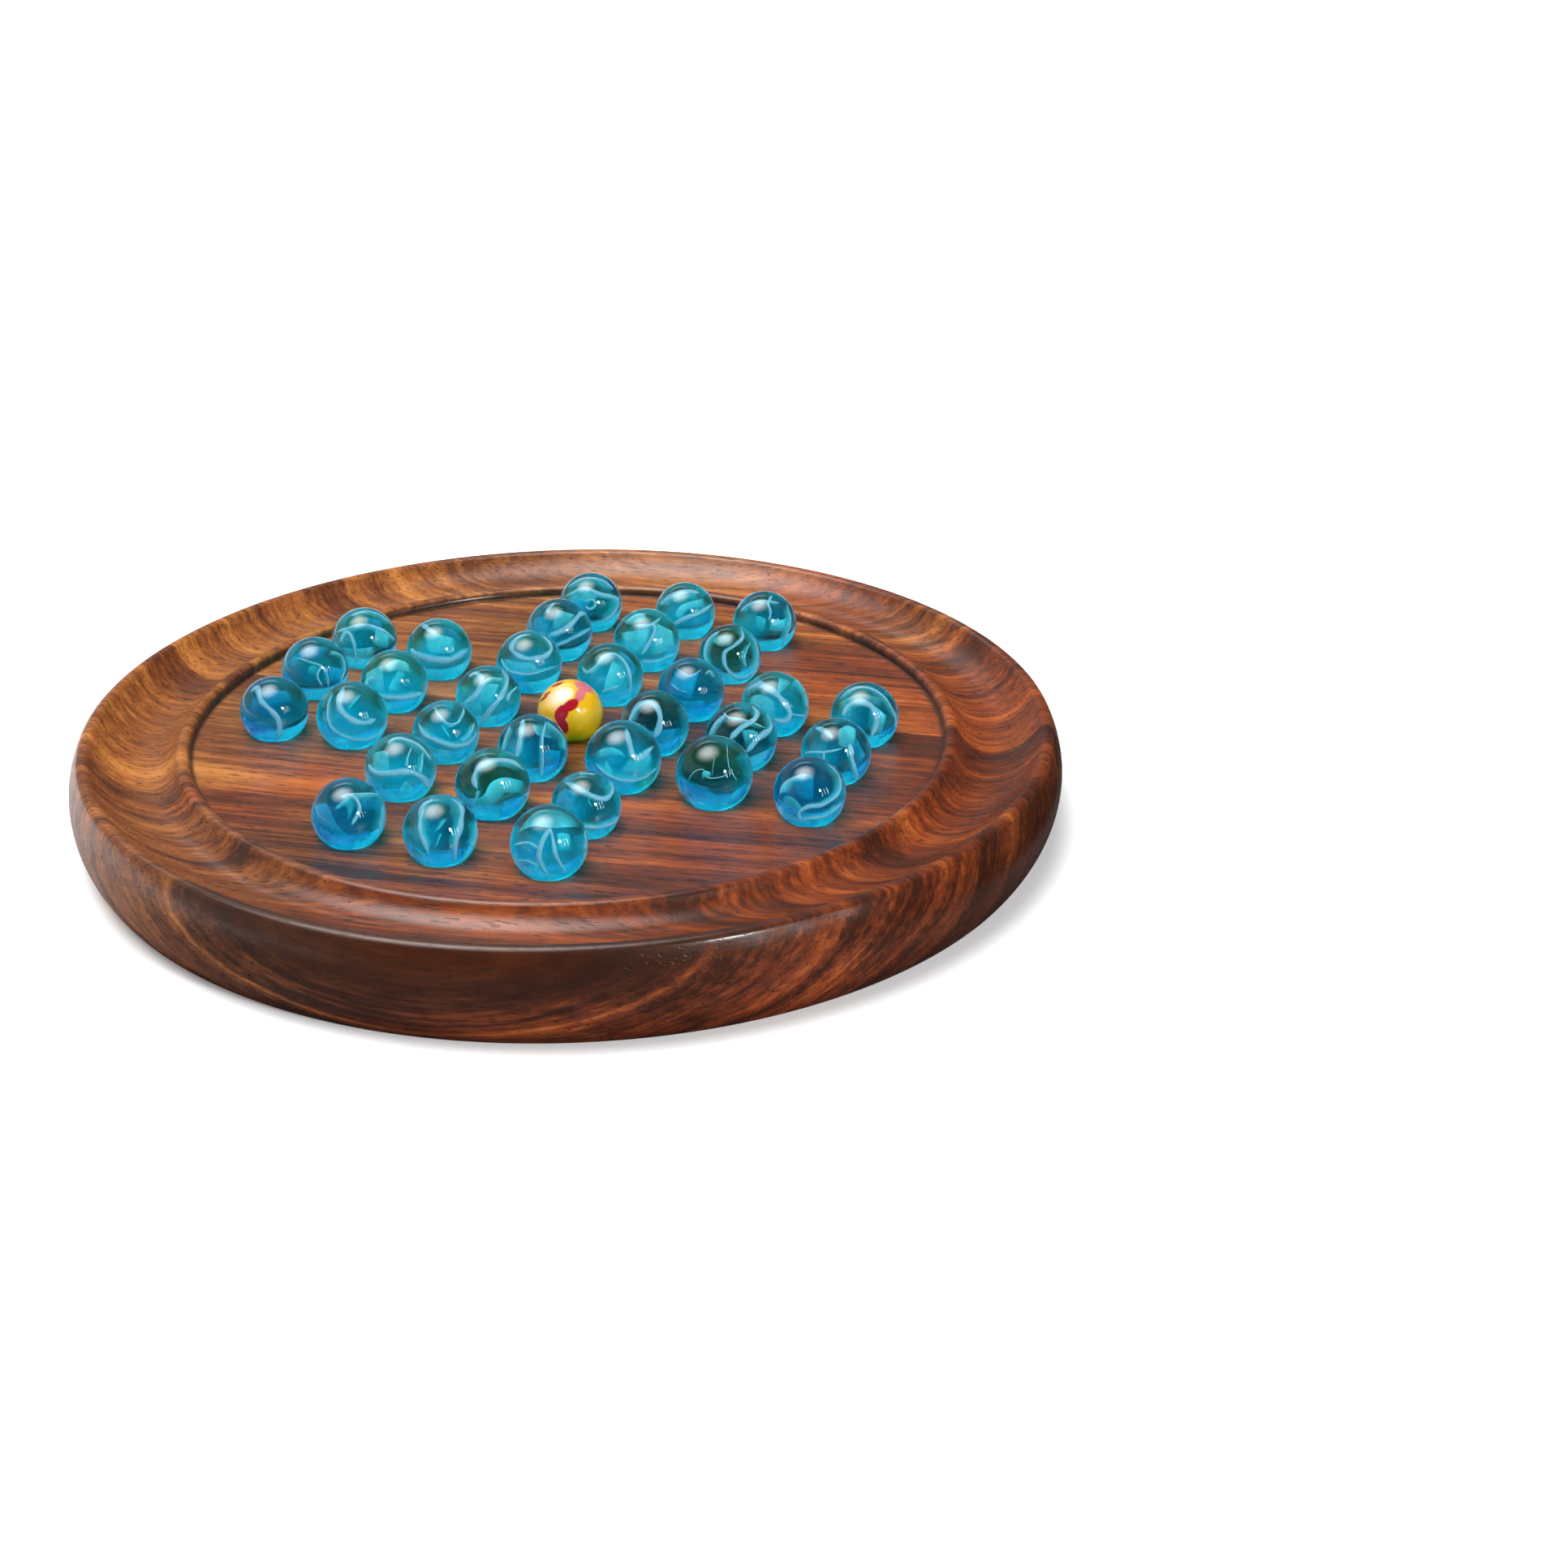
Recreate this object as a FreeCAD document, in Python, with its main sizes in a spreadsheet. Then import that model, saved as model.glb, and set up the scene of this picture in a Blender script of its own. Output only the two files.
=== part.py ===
import FreeCAD, Part
import math
import os
import Sketcher

# Marble solitaire board: a turned round board with a marble gutter, and a glass marble in each seat.
# Frame: origin at the centre of the board's underside, +Z up, rows of seats along X, columns along Y.
# The seats are named like chess squares: column a to g from -X to +X, row 1 to 7 from -Y to +Y.

# ---------------------------------------------------------------- driving dimensions, mm

DIMENSIONS = {
    "board_diameter": 228.4,       # over the bulge of the side
    "board_height": 22.5,          # underside to the crest of the lip
    "side_radius": 20.0,           # round of the bulging side
    "side_widest_height": 12.5,
    "base_edge_radius": 0.8,
    "lip_radius": 2.0,             # round of the outer lip
    "gutter_diameter": 194.0,      # ring through the lowest line of the gutter
    "gutter_depth": 2.2,           # lowest line of the gutter below the playing field
    "field_height": 18.6,          # underside to the playing field
    "field_diameter": 173.6,
    "bead_height": 2.2,            # crest of the bead above the playing field
    "bead_radius": 1.8,            # round of the bead between field and gutter
    "seat_pitch": 22.0,
    "marble_sink": 2.8,            # lowest point of a resting marble below the playing field
    "seat_gap": 0.25,              # clearance between a marble and its seat
    "marble_small": 15.3,          # diameters of hand-made marbles, nominal size 16 mm
    "marble_medium": 15.9,
    "marble_large": 16.4,
    "marble_biggest": 17.1,
}

# The seats are drilled by hand: how far each has wandered off the even grid, (along X, along Y).
WANDER = {
    "c1": (0.5, -0.5), "d1": (0.5, -1.0), "e1": (2.5, 1.5),
    "c2": (0.0, 2.0), "d2": (1.0, 1.0), "e2": (2.0, -0.5),
    "a3": (1.5, -1.5), "b3": (-1.5, 1.0), "c3": (0.5, 1.0), "d3": (1.0, -0.5),
    "e3": (0.5, 1.0), "f3": (0.5, 0.5), "g3": (1.0, 0.0),
    "a4": (-1.5, 1.0), "b4": (-2.0, 0.5), "c4": (0.5, 1.0), "d4": (0.0, 0.0),
    "e4": (-0.5, -0.5), "f4": (-1.0, -1.0), "g4": (-0.5, -0.5),
    "a5": (0.5, 0.0), "b5": (-1.0, 0.0), "c5": (1.0, 0.5), "d5": (0.5, 0.0),
    "e5": (0.0, -1.5), "f5": (-0.5, -2.5), "g5": (-1.0, -1.0),
    "c6": (-0.5, -1.0), "d6": (0.5, 0.5), "e6": (0.5, 0.5),
    "c7": (-1.0, -2.5), "d7": (1.5, 1.0), "e7": (1.0, 1.0),
}

# Marbles that are not of the medium size.
ODD_SIZES = {
    "marble_small": ("e2", "c3", "c4", "d4", "e6", "d7"),
    "marble_large": ("e1", "d2", "b3", "f4", "c6", "d6"),
    "marble_biggest": ("e3", "f3"),
}

COLUMNS = "abcdefg"
ROWS = "1234567"
MIDDLE = 3                         # places before the middle column and the middle row

doc = FreeCAD.newDocument("marble_solitaire_board")


def make_sheet():
    """Spreadsheet with a line for each driving dimension: its name, and its value under that alias."""
    sheet = doc.addObject("Spreadsheet::Sheet", "Sizes")
    cells = dict(DIMENSIONS)
    for seat, (along_x, along_y) in WANDER.items():
        cells["wander_x_" + seat] = along_x
        cells["wander_y_" + seat] = along_y
    for row, (alias, value) in enumerate(cells.items(), start=1):
        sheet.set("A%d" % row, alias)
        sheet.set("B%d" % row, str(value))
        sheet.setAlias("B%d" % row, alias)
    doc.recompute()


# ---------------------------------------------------------------- the turned board

START, END, CENTRE = 1, 2, 3       # the sketcher's numbers for a line's or an arc's points
ORIGIN = (-1, START)


def arc(centre_x, centre_y, radius, first, last):
    """Arc for a sketch, anticlockwise between two angles in degrees."""
    circle = Part.Circle(FreeCAD.Vector(centre_x, centre_y, 0), FreeCAD.Vector(0, 0, 1), radius)
    return Part.ArcOfCircle(circle, math.radians(first), math.radians(last))


def straight(first_x, first_y, last_x, last_y):
    """Straight line for a sketch."""
    return Part.LineSegment(FreeCAD.Vector(first_x, first_y, 0), FreeCAD.Vector(last_x, last_y, 0))


def draw_profile(sketch):
    """Half section of the board, X outwards and Y up. Each line starts near its place, and the
    constraints hold the outline closed and smooth, from the underside round to the axis."""
    lines = {
        "underside": straight(0, 0, 109, 0),
        "base_edge": arc(109, 0.8, 0.8, -90, -36),
        "side": arc(94, 12.5, 20, -36, 26),
        "lip": arc(110, 20.5, 2, 26, 134),
        "gutter_outer": arc(97, 31.2, 14.8, -90, -40),
        "gutter_inner": arc(97, 24.8, 8.4, 215, 270),
        "bead": arc(88.6, 19, 1.8, 35, 180),
        "step": straight(86.8, 19, 86.8, 18.6),
        "field": straight(86.8, 18.6, 0, 18.6),
        "axis": straight(0, 18.6, 0, 0),
    }
    number = {name: sketch.addGeometry(shape, False) for name, shape in lines.items()}

    def point(name, which):
        return number[name], which

    def hold(kind, *where):
        sketch.addConstraint(Sketcher.Constraint(kind, *where))

    hold("Coincident", *point("underside", START), *ORIGIN)
    hold("Tangent", *point("underside", END), *point("base_edge", START))
    hold("Tangent", *point("base_edge", END), *point("side", START))
    hold("Tangent", *point("side", END), *point("lip", START))
    hold("Tangent", *point("lip", END), *point("gutter_outer", END))
    hold("Tangent", *point("gutter_outer", START), *point("gutter_inner", END))
    hold("Tangent", *point("gutter_inner", START), *point("bead", START))
    hold("Tangent", *point("bead", END), *point("step", START))
    hold("Coincident", *point("step", END), *point("field", START))
    hold("Coincident", *point("field", END), *point("axis", START))
    hold("Coincident", *point("axis", END), *ORIGIN)
    hold("Horizontal", number["underside"])
    hold("Vertical", *point("gutter_outer", START), *point("gutter_outer", CENTRE))
    hold("Vertical", number["step"])
    hold("Horizontal", number["field"])
    hold("Vertical", number["axis"])

    def bind(constraint, formula):
        """Adds a dimension at the drawn value and ties it to the sheet."""
        index = sketch.addConstraint(constraint)
        name = "size_%d" % index
        sketch.renameConstraint(index, name)
        sketch.setExpression("Constraints." + name, formula)

    def bind_radius(name, formula):
        bind(Sketcher.Constraint("Radius", number[name], lines[name].Radius), formula)

    def bind_out(name, which, formula):
        """Distance from the axis."""
        drawn = sketch.getPoint(*point(name, which)).x
        bind(Sketcher.Constraint("DistanceX", *ORIGIN, *point(name, which), drawn), formula)

    def bind_up(name, which, formula):
        """Height over the underside."""
        drawn = sketch.getPoint(*point(name, which)).y
        bind(Sketcher.Constraint("DistanceY", *ORIGIN, *point(name, which), drawn), formula)

    bind_radius("base_edge", "Sizes.base_edge_radius")
    bind_radius("side", "Sizes.side_radius")
    bind_out("side", CENTRE, "Sizes.board_diameter / 2 - Sizes.side_radius")
    bind_up("side", CENTRE, "Sizes.side_widest_height")
    bind_radius("lip", "Sizes.lip_radius")
    bind_up("lip", CENTRE, "Sizes.board_height - Sizes.lip_radius")
    bind_out("gutter_outer", START, "Sizes.gutter_diameter / 2")
    bind_up("gutter_outer", START, "Sizes.field_height - Sizes.gutter_depth")
    bind_radius("bead", "Sizes.bead_radius")
    bind_up("bead", CENTRE, "Sizes.field_height + Sizes.bead_height - Sizes.bead_radius")
    bind_out("field", START, "Sizes.field_diameter / 2")
    bind_up("field", START, "Sizes.field_height")


def make_blank():
    """The turned board before its seats are drilled."""
    body = doc.addObject("PartDesign::Body", "turned_blank")
    sketch = body.newObject("Sketcher::SketchObject", "half_section")
    plane = [item for item in body.Origin.OriginFeatures if item.Role == "XZ_Plane"][0]
    sketch.AttachmentSupport = [(plane, "")]
    sketch.MapMode = "FlatFace"
    draw_profile(sketch)
    doc.recompute()
    turning = body.newObject("PartDesign::Revolution", "turning")
    turning.Profile = sketch
    turning.ReferenceAxis = (sketch, ["V_Axis"])
    turning.Angle = 360
    sketch.Visibility = False
    body.Tip = turning
    return body


# ---------------------------------------------------------------- seats and marbles

def seat_places():
    """The 33 seats of the English cross, each with its steps from the middle along X and Y."""
    for row_step in range(-MIDDLE, MIDDLE + 1):
        for column_step in range(-MIDDLE, MIDDLE + 1):
            if abs(row_step) <= 1 or abs(column_step) <= 1:
                seat = COLUMNS[column_step + MIDDLE] + ROWS[row_step + MIDDLE]
                yield seat, column_step, row_step


def marble_size(seat):
    """The sheet's alias for the diameter of the marble in this seat."""
    for size, seats in ODD_SIZES.items():
        if seat in seats:
            return size
    return "marble_medium"


def ball(name, seat, column_step, row_step, gap):
    """Sphere where the seat's marble rests, larger by the gap all round."""
    radius = "Sizes.%s / 2" % marble_size(seat)
    sphere = doc.addObject("Part::Sphere", name)
    sphere.Label = name
    sphere.setExpression("Radius", radius + gap)
    place = "Sizes.seat_pitch * (%d) + Sizes.wander_%s_%s"
    sphere.setExpression("Placement.Base.x", place % (column_step, "x", seat))
    sphere.setExpression("Placement.Base.y", place % (row_step, "y", seat))
    sphere.setExpression("Placement.Base.z", "Sizes.field_height - Sizes.marble_sink + " + radius)
    return sphere


def make_board(blank):
    """The board: the turned blank with a round-bottomed seat drilled for each marble."""
    drills = doc.addObject("Part::Compound", "seat_drills")
    drills.Links = [ball("drill_" + seat, seat, column, row, " + Sizes.seat_gap")
                    for seat, column, row in seat_places()]
    board = doc.addObject("Part::Cut", "board")
    board.Label = "board"
    board.Base = blank
    board.Tool = drills
    return board


def make_marbles():
    return [ball("marble_" + seat, seat, column, row, "") for seat, column, row in seat_places()]


# ---------------------------------------------------------------- build, check, write

def check(pieces, blank):
    """Stops at a failed object, a missing or broken shape, or a board whose seats cut nothing."""
    for item in doc.Objects:
        if "Invalid" in item.State or "Error" in item.State:
            raise RuntimeError("%s failed: %s" % (item.Name, item.State))
    for piece in pieces:
        shape = piece.Shape
        if shape.isNull() or not shape.isValid() or len(shape.Solids) != 1:
            raise RuntimeError("%s has no single sound solid" % piece.Label)
        print("%-12s %10.1f mm3" % (piece.Label, shape.Volume))
    drilled = blank.Shape.Volume - pieces[0].Shape.Volume
    print("drilled out  %10.1f mm3" % drilled)
    if drilled <= 0:
        raise RuntimeError("the seats cut nothing")


def main():
    make_sheet()
    blank = make_blank()
    board = make_board(blank)
    pieces = [board] + make_marbles()
    doc.recompute()
    check(pieces, blank)
    os.makedirs("parts", exist_ok=True)
    for piece in pieces:
        piece.Shape.exportStep("parts/%s.step" % piece.Label)


main()
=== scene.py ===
"""Looks of the marble solitaire board: turned rosewood, clear blue swirl marbles and one opaque yellow one.

Lengths are metres, but for the board's outline, which is in millimetres. The origin is the centre of the
board's underside, +Z is up.
"""
import math
import random

import bmesh
import bpy
from mathutils import Matrix, Vector, noise
from mathutils.geometry import delaunay_2d_cdt


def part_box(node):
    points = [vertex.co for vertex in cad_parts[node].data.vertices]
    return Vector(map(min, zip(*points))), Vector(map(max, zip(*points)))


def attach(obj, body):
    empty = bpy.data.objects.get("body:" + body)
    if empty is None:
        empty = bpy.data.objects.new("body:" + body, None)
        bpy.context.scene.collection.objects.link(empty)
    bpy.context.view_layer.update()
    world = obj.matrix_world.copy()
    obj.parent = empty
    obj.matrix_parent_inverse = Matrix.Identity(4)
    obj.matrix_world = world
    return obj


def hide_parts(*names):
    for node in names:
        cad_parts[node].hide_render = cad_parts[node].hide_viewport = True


MM = 0.001
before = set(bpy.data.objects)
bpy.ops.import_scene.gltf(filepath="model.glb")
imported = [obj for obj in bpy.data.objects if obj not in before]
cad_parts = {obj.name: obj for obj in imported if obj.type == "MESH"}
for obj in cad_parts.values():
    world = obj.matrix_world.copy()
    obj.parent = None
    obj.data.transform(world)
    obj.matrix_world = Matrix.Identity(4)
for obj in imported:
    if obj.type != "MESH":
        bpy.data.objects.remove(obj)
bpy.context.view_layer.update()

# ---------------------------------------------------------------- camera
CAMERA_TURN = math.radians(25.23)      # how far the view is turned round the board
CAMERA_DISTANCE = 0.6178               # from the middle of the marbles
CAMERA_ELEVATION = math.radians(23.77)
CAMERA_YAW = math.radians(4.52)        # the board sits left of the picture's middle
CAMERA_PITCH = math.radians(-1.74)
CAMERA_ROLL = math.radians(1.94)
CAMERA_LENS = 60.9
SENSOR_WIDTH = 36


def from_front(x, y, z):
    """A direction said as seen from the front (right, away, up), turned into the board's frame."""
    return Matrix.Rotation(CAMERA_TURN, 3, "Z") @ Vector((x, y, z))


AIM = from_front(0.35 * MM, 0, 0.0238)     # the seats' middle, a little off the board's
VIEWPOINT = AIM + CAMERA_DISTANCE * from_front(
    0, -math.cos(CAMERA_ELEVATION), math.sin(CAMERA_ELEVATION))


def make_camera():
    """The scene's camera. The rows of each matrix are its right, up and forward directions."""
    sine, cosine = math.sin(CAMERA_ELEVATION), math.cos(CAMERA_ELEVATION)
    level = Matrix((from_front(1, 0, 0), from_front(0, sine, cosine), from_front(0, cosine, -sine)))
    sine, cosine = math.sin(CAMERA_YAW), math.cos(CAMERA_YAW)
    yaw = Matrix(((cosine, 0, -sine), (0, 1, 0), (sine, 0, cosine)))
    sine, cosine = math.sin(CAMERA_PITCH), math.cos(CAMERA_PITCH)
    pitch = Matrix(((1, 0, 0), (0, cosine, -sine), (0, sine, cosine)))
    sine, cosine = math.sin(CAMERA_ROLL), math.cos(CAMERA_ROLL)
    roll = Matrix(((cosine, -sine, 0), (sine, cosine, 0), (0, 0, 1)))
    right, up, forward = roll @ pitch @ yaw @ level
    data = bpy.data.cameras.new("camera")
    data.lens = CAMERA_LENS
    data.sensor_width = SENSOR_WIDTH
    data.clip_start, data.clip_end = 0.01, 50
    camera = bpy.data.objects.new("camera", data)
    bpy.context.scene.collection.objects.link(camera)
    turned = Matrix((right, up, -forward)).transposed().to_4x4()
    camera.matrix_world = Matrix.Translation(VIEWPOINT) @ turned
    bpy.context.scene.camera = camera


# ---------------------------------------------------------------- helpers
class Nodes:
    """The node tree of a new material or world, built with one call for each node."""

    def __init__(self, owner):
        self.owner = owner
        owner.use_nodes = True
        self.tree = owner.node_tree
        self.tree.nodes.clear()

    def add(self, kind, settings=None, **inputs):
        node = self.tree.nodes.new(kind)
        for key, value in (settings or {}).items():
            setattr(node, key, value)
        for key, value in inputs.items():
            self.put(node.inputs[key.replace("_", " ")], value)
        return node

    def put(self, socket, value):
        if isinstance(value, bpy.types.NodeSocket):
            self.tree.links.new(value, socket)
        else:
            socket.default_value = value

    def math(self, operation, *values, clamp=False):
        node = self.add("ShaderNodeMath", {"operation": operation, "use_clamp": clamp})
        for socket, value in zip(node.inputs, values):
            self.put(socket, value)
        return node.outputs[0]

    def plus(self, first, second):
        return self.math("ADD", first, second)

    def minus(self, first, second):
        return self.math("SUBTRACT", first, second)

    def times(self, first, second):
        return self.math("MULTIPLY", first, second)

    def vector(self, operation, *values):
        node = self.add("ShaderNodeVectorMath", {"operation": operation})
        for socket, value in zip(node.inputs, values):
            self.put(socket, value)
        return node.outputs["Value" if operation in ("DOT_PRODUCT", "LENGTH") else 0]

    def along(self, place, way):
        """How far a place lies along a direction."""
        return self.vector("DOT_PRODUCT", place, tuple(way))

    def place(self):
        return self.add("ShaderNodeTexCoord").outputs["Object"]

    def noise(self, vector, scale=1.0, detail=2.0, roughness=0.5):
        node = self.add("ShaderNodeTexNoise", Vector=vector, Scale=scale, Detail=detail, Roughness=roughness)
        return node.outputs["Fac"]

    def line_noise(self, w, scale, detail, roughness):
        node = self.add("ShaderNodeTexNoise", {"noise_dimensions": "1D"}, W=w, Scale=scale,
                        Detail=detail, Roughness=roughness)
        return node.outputs["Fac"]

    def ramp(self, value, low, high, to_low=0.0, to_high=1.0):
        """A smooth step from to_low to to_high as the value goes from low to high."""
        node = self.add("ShaderNodeMapRange", {"interpolation_type": "SMOOTHSTEP"}, Value=value)
        for key, number in (("From Min", low), ("From Max", high), ("To Min", to_low), ("To Max", to_high)):
            self.put(node.inputs[key], number)
        return node.outputs[0]

    def colours(self, value, *stops):
        node = self.add("ShaderNodeValToRGB", Fac=value)
        band = node.color_ramp
        while len(band.elements) < len(stops):
            band.elements.new(0.5)
        for element, (place, colour) in zip(band.elements, stops):
            element.position = place
            element.color = (*colour, 1)
        return node.outputs[0]

    def mix(self, amount, first, second, blend="MIX"):
        node = self.add("ShaderNodeMix", {"data_type": "RGBA", "blend_type": blend})
        self.put(node.inputs[0], amount)
        for socket, value in ((node.inputs[6], first), (node.inputs[7], second)):
            self.put(socket, (*value, 1) if isinstance(value, tuple) else value)
        return node.outputs[2]

    def shader_mix(self, amount, first, second):
        node = self.add("ShaderNodeMixShader", Fac=amount)
        self.put(node.inputs[1], first)
        self.put(node.inputs[2], second)
        return node.outputs[0]

    def diffuse(self, colour):
        return self.add("ShaderNodeBsdfDiffuse", Color=colour).outputs[0]

    def transparent(self, colour):
        return self.add("ShaderNodeBsdfTransparent", Color=(*colour, 1)).outputs[0]

    def finish(self, surface, **others):
        world = isinstance(self.owner, bpy.types.World)
        self.add("ShaderNodeOutputWorld" if world else "ShaderNodeOutputMaterial", Surface=surface, **others)
        return self.owner


def new_material(name):
    return Nodes(bpy.data.materials.new(name))


def grey(level):
    return (level, level, level)


def as_object(bm, name, *materials, at=(0, 0, 0)):
    mesh = bpy.data.meshes.new(name)
    bm.to_mesh(mesh)
    bm.free()
    mesh.shade_smooth()
    for material in materials:
        mesh.materials.append(material)
    thing = bpy.data.objects.new(name, mesh)
    thing.location = at
    bpy.context.scene.collection.objects.link(thing)
    return thing


def marble_names():
    return sorted(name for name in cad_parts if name.startswith("marble_"))


# ---------------------------------------------------------------- wood
GRAIN = from_front(1, -0.3, 0).normalized()            # along the fibres
LAYER = from_front(0.33, 1.1, -1.0).normalized()       # across the growth layers
ACROSS = LAYER.cross(GRAIN)
LIGHT_SIDE = from_front(-0.35, 1, 0)                   # the wood is lighter towards the back
# painted shade: the wood is made darkest high on the front side
SHADED_FRONT = from_front(-0.25, -0.9, 1.6)              # darkest high on the front
# painted shade: the wood is made dark on the right
SHADED_RIGHT = from_front(1, -0.35, -1.5)                 # dark on the right
RED_SIDE = from_front(1, -0.7, 0)                      # and reddest on the front right

WOOD_TONES = (
    (0.38, (0.036, 0.009, 0.004)),
    (0.46, (0.118, 0.030, 0.008)),
    (0.52, (0.205, 0.059, 0.013)),
    (0.58, (0.310, 0.098, 0.020)),
    (0.67, (0.500, 0.185, 0.038)),
)
MIDDLE_TONE = 0.500
RED_WASH = (1.0, 0.64, 0.50)
# painted shade high on the front
FRONT_SHADE_COLOUR = (0.022, 0.004, 0.002)
# painted shade on the right
RIGHT_SHADE_COLOUR = (0.026, 0.007, 0.003)
PORE_COLOUR = (0.016, 0.007, 0.005)
# painted shade in the crease at the bead's foot
CREASE_SHADE_COLOUR = (0.018, 0.008, 0.006)

CREASE_RADIUS = 0.0867                 # where the field meets the bead; painted shade lies along it
TURNING_PITCH = 0.42 * MM              # of the tool marks outside the crease
TURNING_DEPTH = 0.008 * MM
SANDING_DEPTH = 0.02 * MM
PORE_DEPTH = 0.06 * MM


def rosewood():
    """Varnished rosewood, solid all through: layers, streaks, pores and turning marks, with painted shade
    high on the front, on the right and in the crease at the bead's foot.
    """
    n = new_material("rosewood")
    place = n.place()
    along, across, layer = n.along(place, GRAIN), n.along(place, ACROSS), n.along(place, LAYER)

    def stretched(a, b, c):
        """The place in steps of 1/a along the fibres, 1/b across them and 1/c through the layers."""
        node = n.add("ShaderNodeCombineXYZ", X=n.times(along, a), Y=n.times(across, b), Z=n.times(layer, c))
        return node.outputs[0]

    slow = n.minus(n.noise(stretched(7, 16, 16), detail=2), 0.5)
    quick = n.minus(n.noise(stretched(35, 110, 110), detail=2), 0.5)
    bent = n.plus(layer, n.plus(n.times(slow, 0.016), n.times(quick, 0.0013)))
    broad = n.line_noise(bent, 95, 1, 0.5)
    bands = n.line_noise(bent, 330, 2, 0.6)
    fine = n.line_noise(bent, 900, 2, 0.6)
    streaks = n.noise(stretched(22, 480, 1400), detail=3, roughness=0.6)
    cloud = n.noise(stretched(20, 44, 44), detail=4, roughness=0.6)
    fleck = n.noise(stretched(170, 300, 800), detail=2)
    weights = ((broad, 0.34), (bands, 0.24), (fine, 0.13), (streaks, 0.28), (cloud, 0.34), (fleck, 0.14))
    tone = n.plus(MIDDLE_TONE, n.times(n.along(place, LIGHT_SIDE), 0.42))
    for part, weight in weights:
        tone = n.plus(tone, n.times(n.minus(part, 0.5), weight))
    colour = n.colours(tone, *WOOD_TONES)

    red = n.plus(n.noise(stretched(12, 30, 30), detail=3), n.times(n.along(place, RED_SIDE), 1.6))
    colour = n.mix(n.ramp(red, 0.44, 0.66, 0.0, 0.95), colour, RED_WASH, "MULTIPLY")
    # painted shade, darkest high on the front
    front_shade = n.plus(n.along(place, SHADED_FRONT), n.times(slow, 0.012))
    colour = n.mix(n.times(n.ramp(front_shade, 0.1165, 0.1295), 0.90), colour, FRONT_SHADE_COLOUR)
    # painted shade on the right side
    right_shade = n.ramp(n.along(place, SHADED_RIGHT), 0.072, 0.104)
    colour = n.mix(n.times(right_shade, 0.72), colour, RIGHT_SHADE_COLOUR)
    pore = n.ramp(n.noise(stretched(230, 2300, 2300), detail=1), 0.62, 0.70)
    colour = n.mix(n.times(pore, 0.85), colour, PORE_COLOUR)
    radius = n.vector("LENGTH", n.vector("MULTIPLY", place, (1, 1, 0)))
    # painted shade in the crease where the field meets the bead
    crease_shade = n.ramp(n.math("ABSOLUTE", n.minus(radius, CREASE_RADIUS)), 1.0 * MM, 0.2 * MM)
    colour = n.mix(n.times(crease_shade, 0.75), colour, CREASE_SHADE_COLOUR)

    turned = n.math("SINE", n.times(radius, 2 * math.pi / TURNING_PITCH))
    worked = n.ramp(radius, CREASE_RADIUS, CREASE_RADIUS + 0.5 * MM)
    marks = n.times(n.times(turned, worked), n.noise(place, 60, 2))
    sanded = n.noise(stretched(30, 1500, 1500), detail=2)
    height = n.plus(n.times(marks, TURNING_DEPTH), n.times(sanded, SANDING_DEPTH))
    height = n.minus(height, n.times(pore, PORE_DEPTH))
    wood_bump = n.add("ShaderNodeBump", Height=height, Strength=0.6, Distance=1.0).outputs[0]
    varnish_bump = n.add("ShaderNodeBump", Height=height, Strength=0.35, Distance=1.0).outputs[0]

    matt = n.noise(stretched(60, 240, 240), detail=3)
    rough = n.plus(n.ramp(matt, 0.3, 0.7, 0.45, 0.58), n.times(pore, 0.25))
    wood = n.add("ShaderNodeBsdfPrincipled", Base_Color=colour, Roughness=rough, Normal=wood_bump,
                 Coat_Normal=varnish_bump)
    wood.inputs["IOR"].default_value = 1.30
    wood.inputs["Specular Tint"].default_value = (1.0, 0.75, 0.50, 1)
    wood.inputs["Coat Weight"].default_value = 0.50
    wood.inputs["Coat Roughness"].default_value = 0.19
    wood.inputs["Coat IOR"].default_value = 1.5
    return n.finish(wood.outputs[0])


# ---------------------------------------------------------------- board
# The turned outline, in millimetres. Each round has its radius; a place is out from the axis, then up.
SIDE_RADIUS, SIDE_WIDEST, SIDE_HEIGHT = 20.0, 114.2, 12.5
LIP_RADIUS, BOARD_HEIGHT = 2.0, 22.5
BASE_EDGE = 0.8
GUTTER_RADIUS, GUTTER_FLOOR = 97.0, 16.4
BEAD_RADIUS, BEAD_TOP = 1.8, 20.8
FIELD_RADIUS, FIELD_HEIGHT = 86.8, 18.6
UNDERSIDE_RINGS = (30.0, 60.0, 85.0, 100.0, 107.0)
FIELD_CORNER = ((0, 0.35), (0.03, 0.18), (0.12, 0.05), (0.3, 0))    # in from the bead's foot, up
SEAT_GAP = 0.25
RIM_ROUND = 0.45                       # worn edge of a seat
ROUND_STEPS = 320
SEAT_STEPS = 72
RIM_STEPS = 6
HOLLOW_STEPS = 11


def arc(centre, radius, start, end, steps):
    """Points on an arc in the (radius, height) half plane, in millimetres and degrees."""
    points = []
    for i in range(steps + 1):
        angle = math.radians(start + (end - start) * i / steps)
        points.append((centre[0] + radius * math.cos(angle), centre[1] + radius * math.sin(angle)))
    return points


def tangent_radius(gap, rise, end_radius):
    """Radius of the gutter's arc that ends smoothly on a round edge so far out and up."""
    return (gap ** 2 + rise ** 2 - end_radius ** 2) / (2 * (rise + end_radius))


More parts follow.
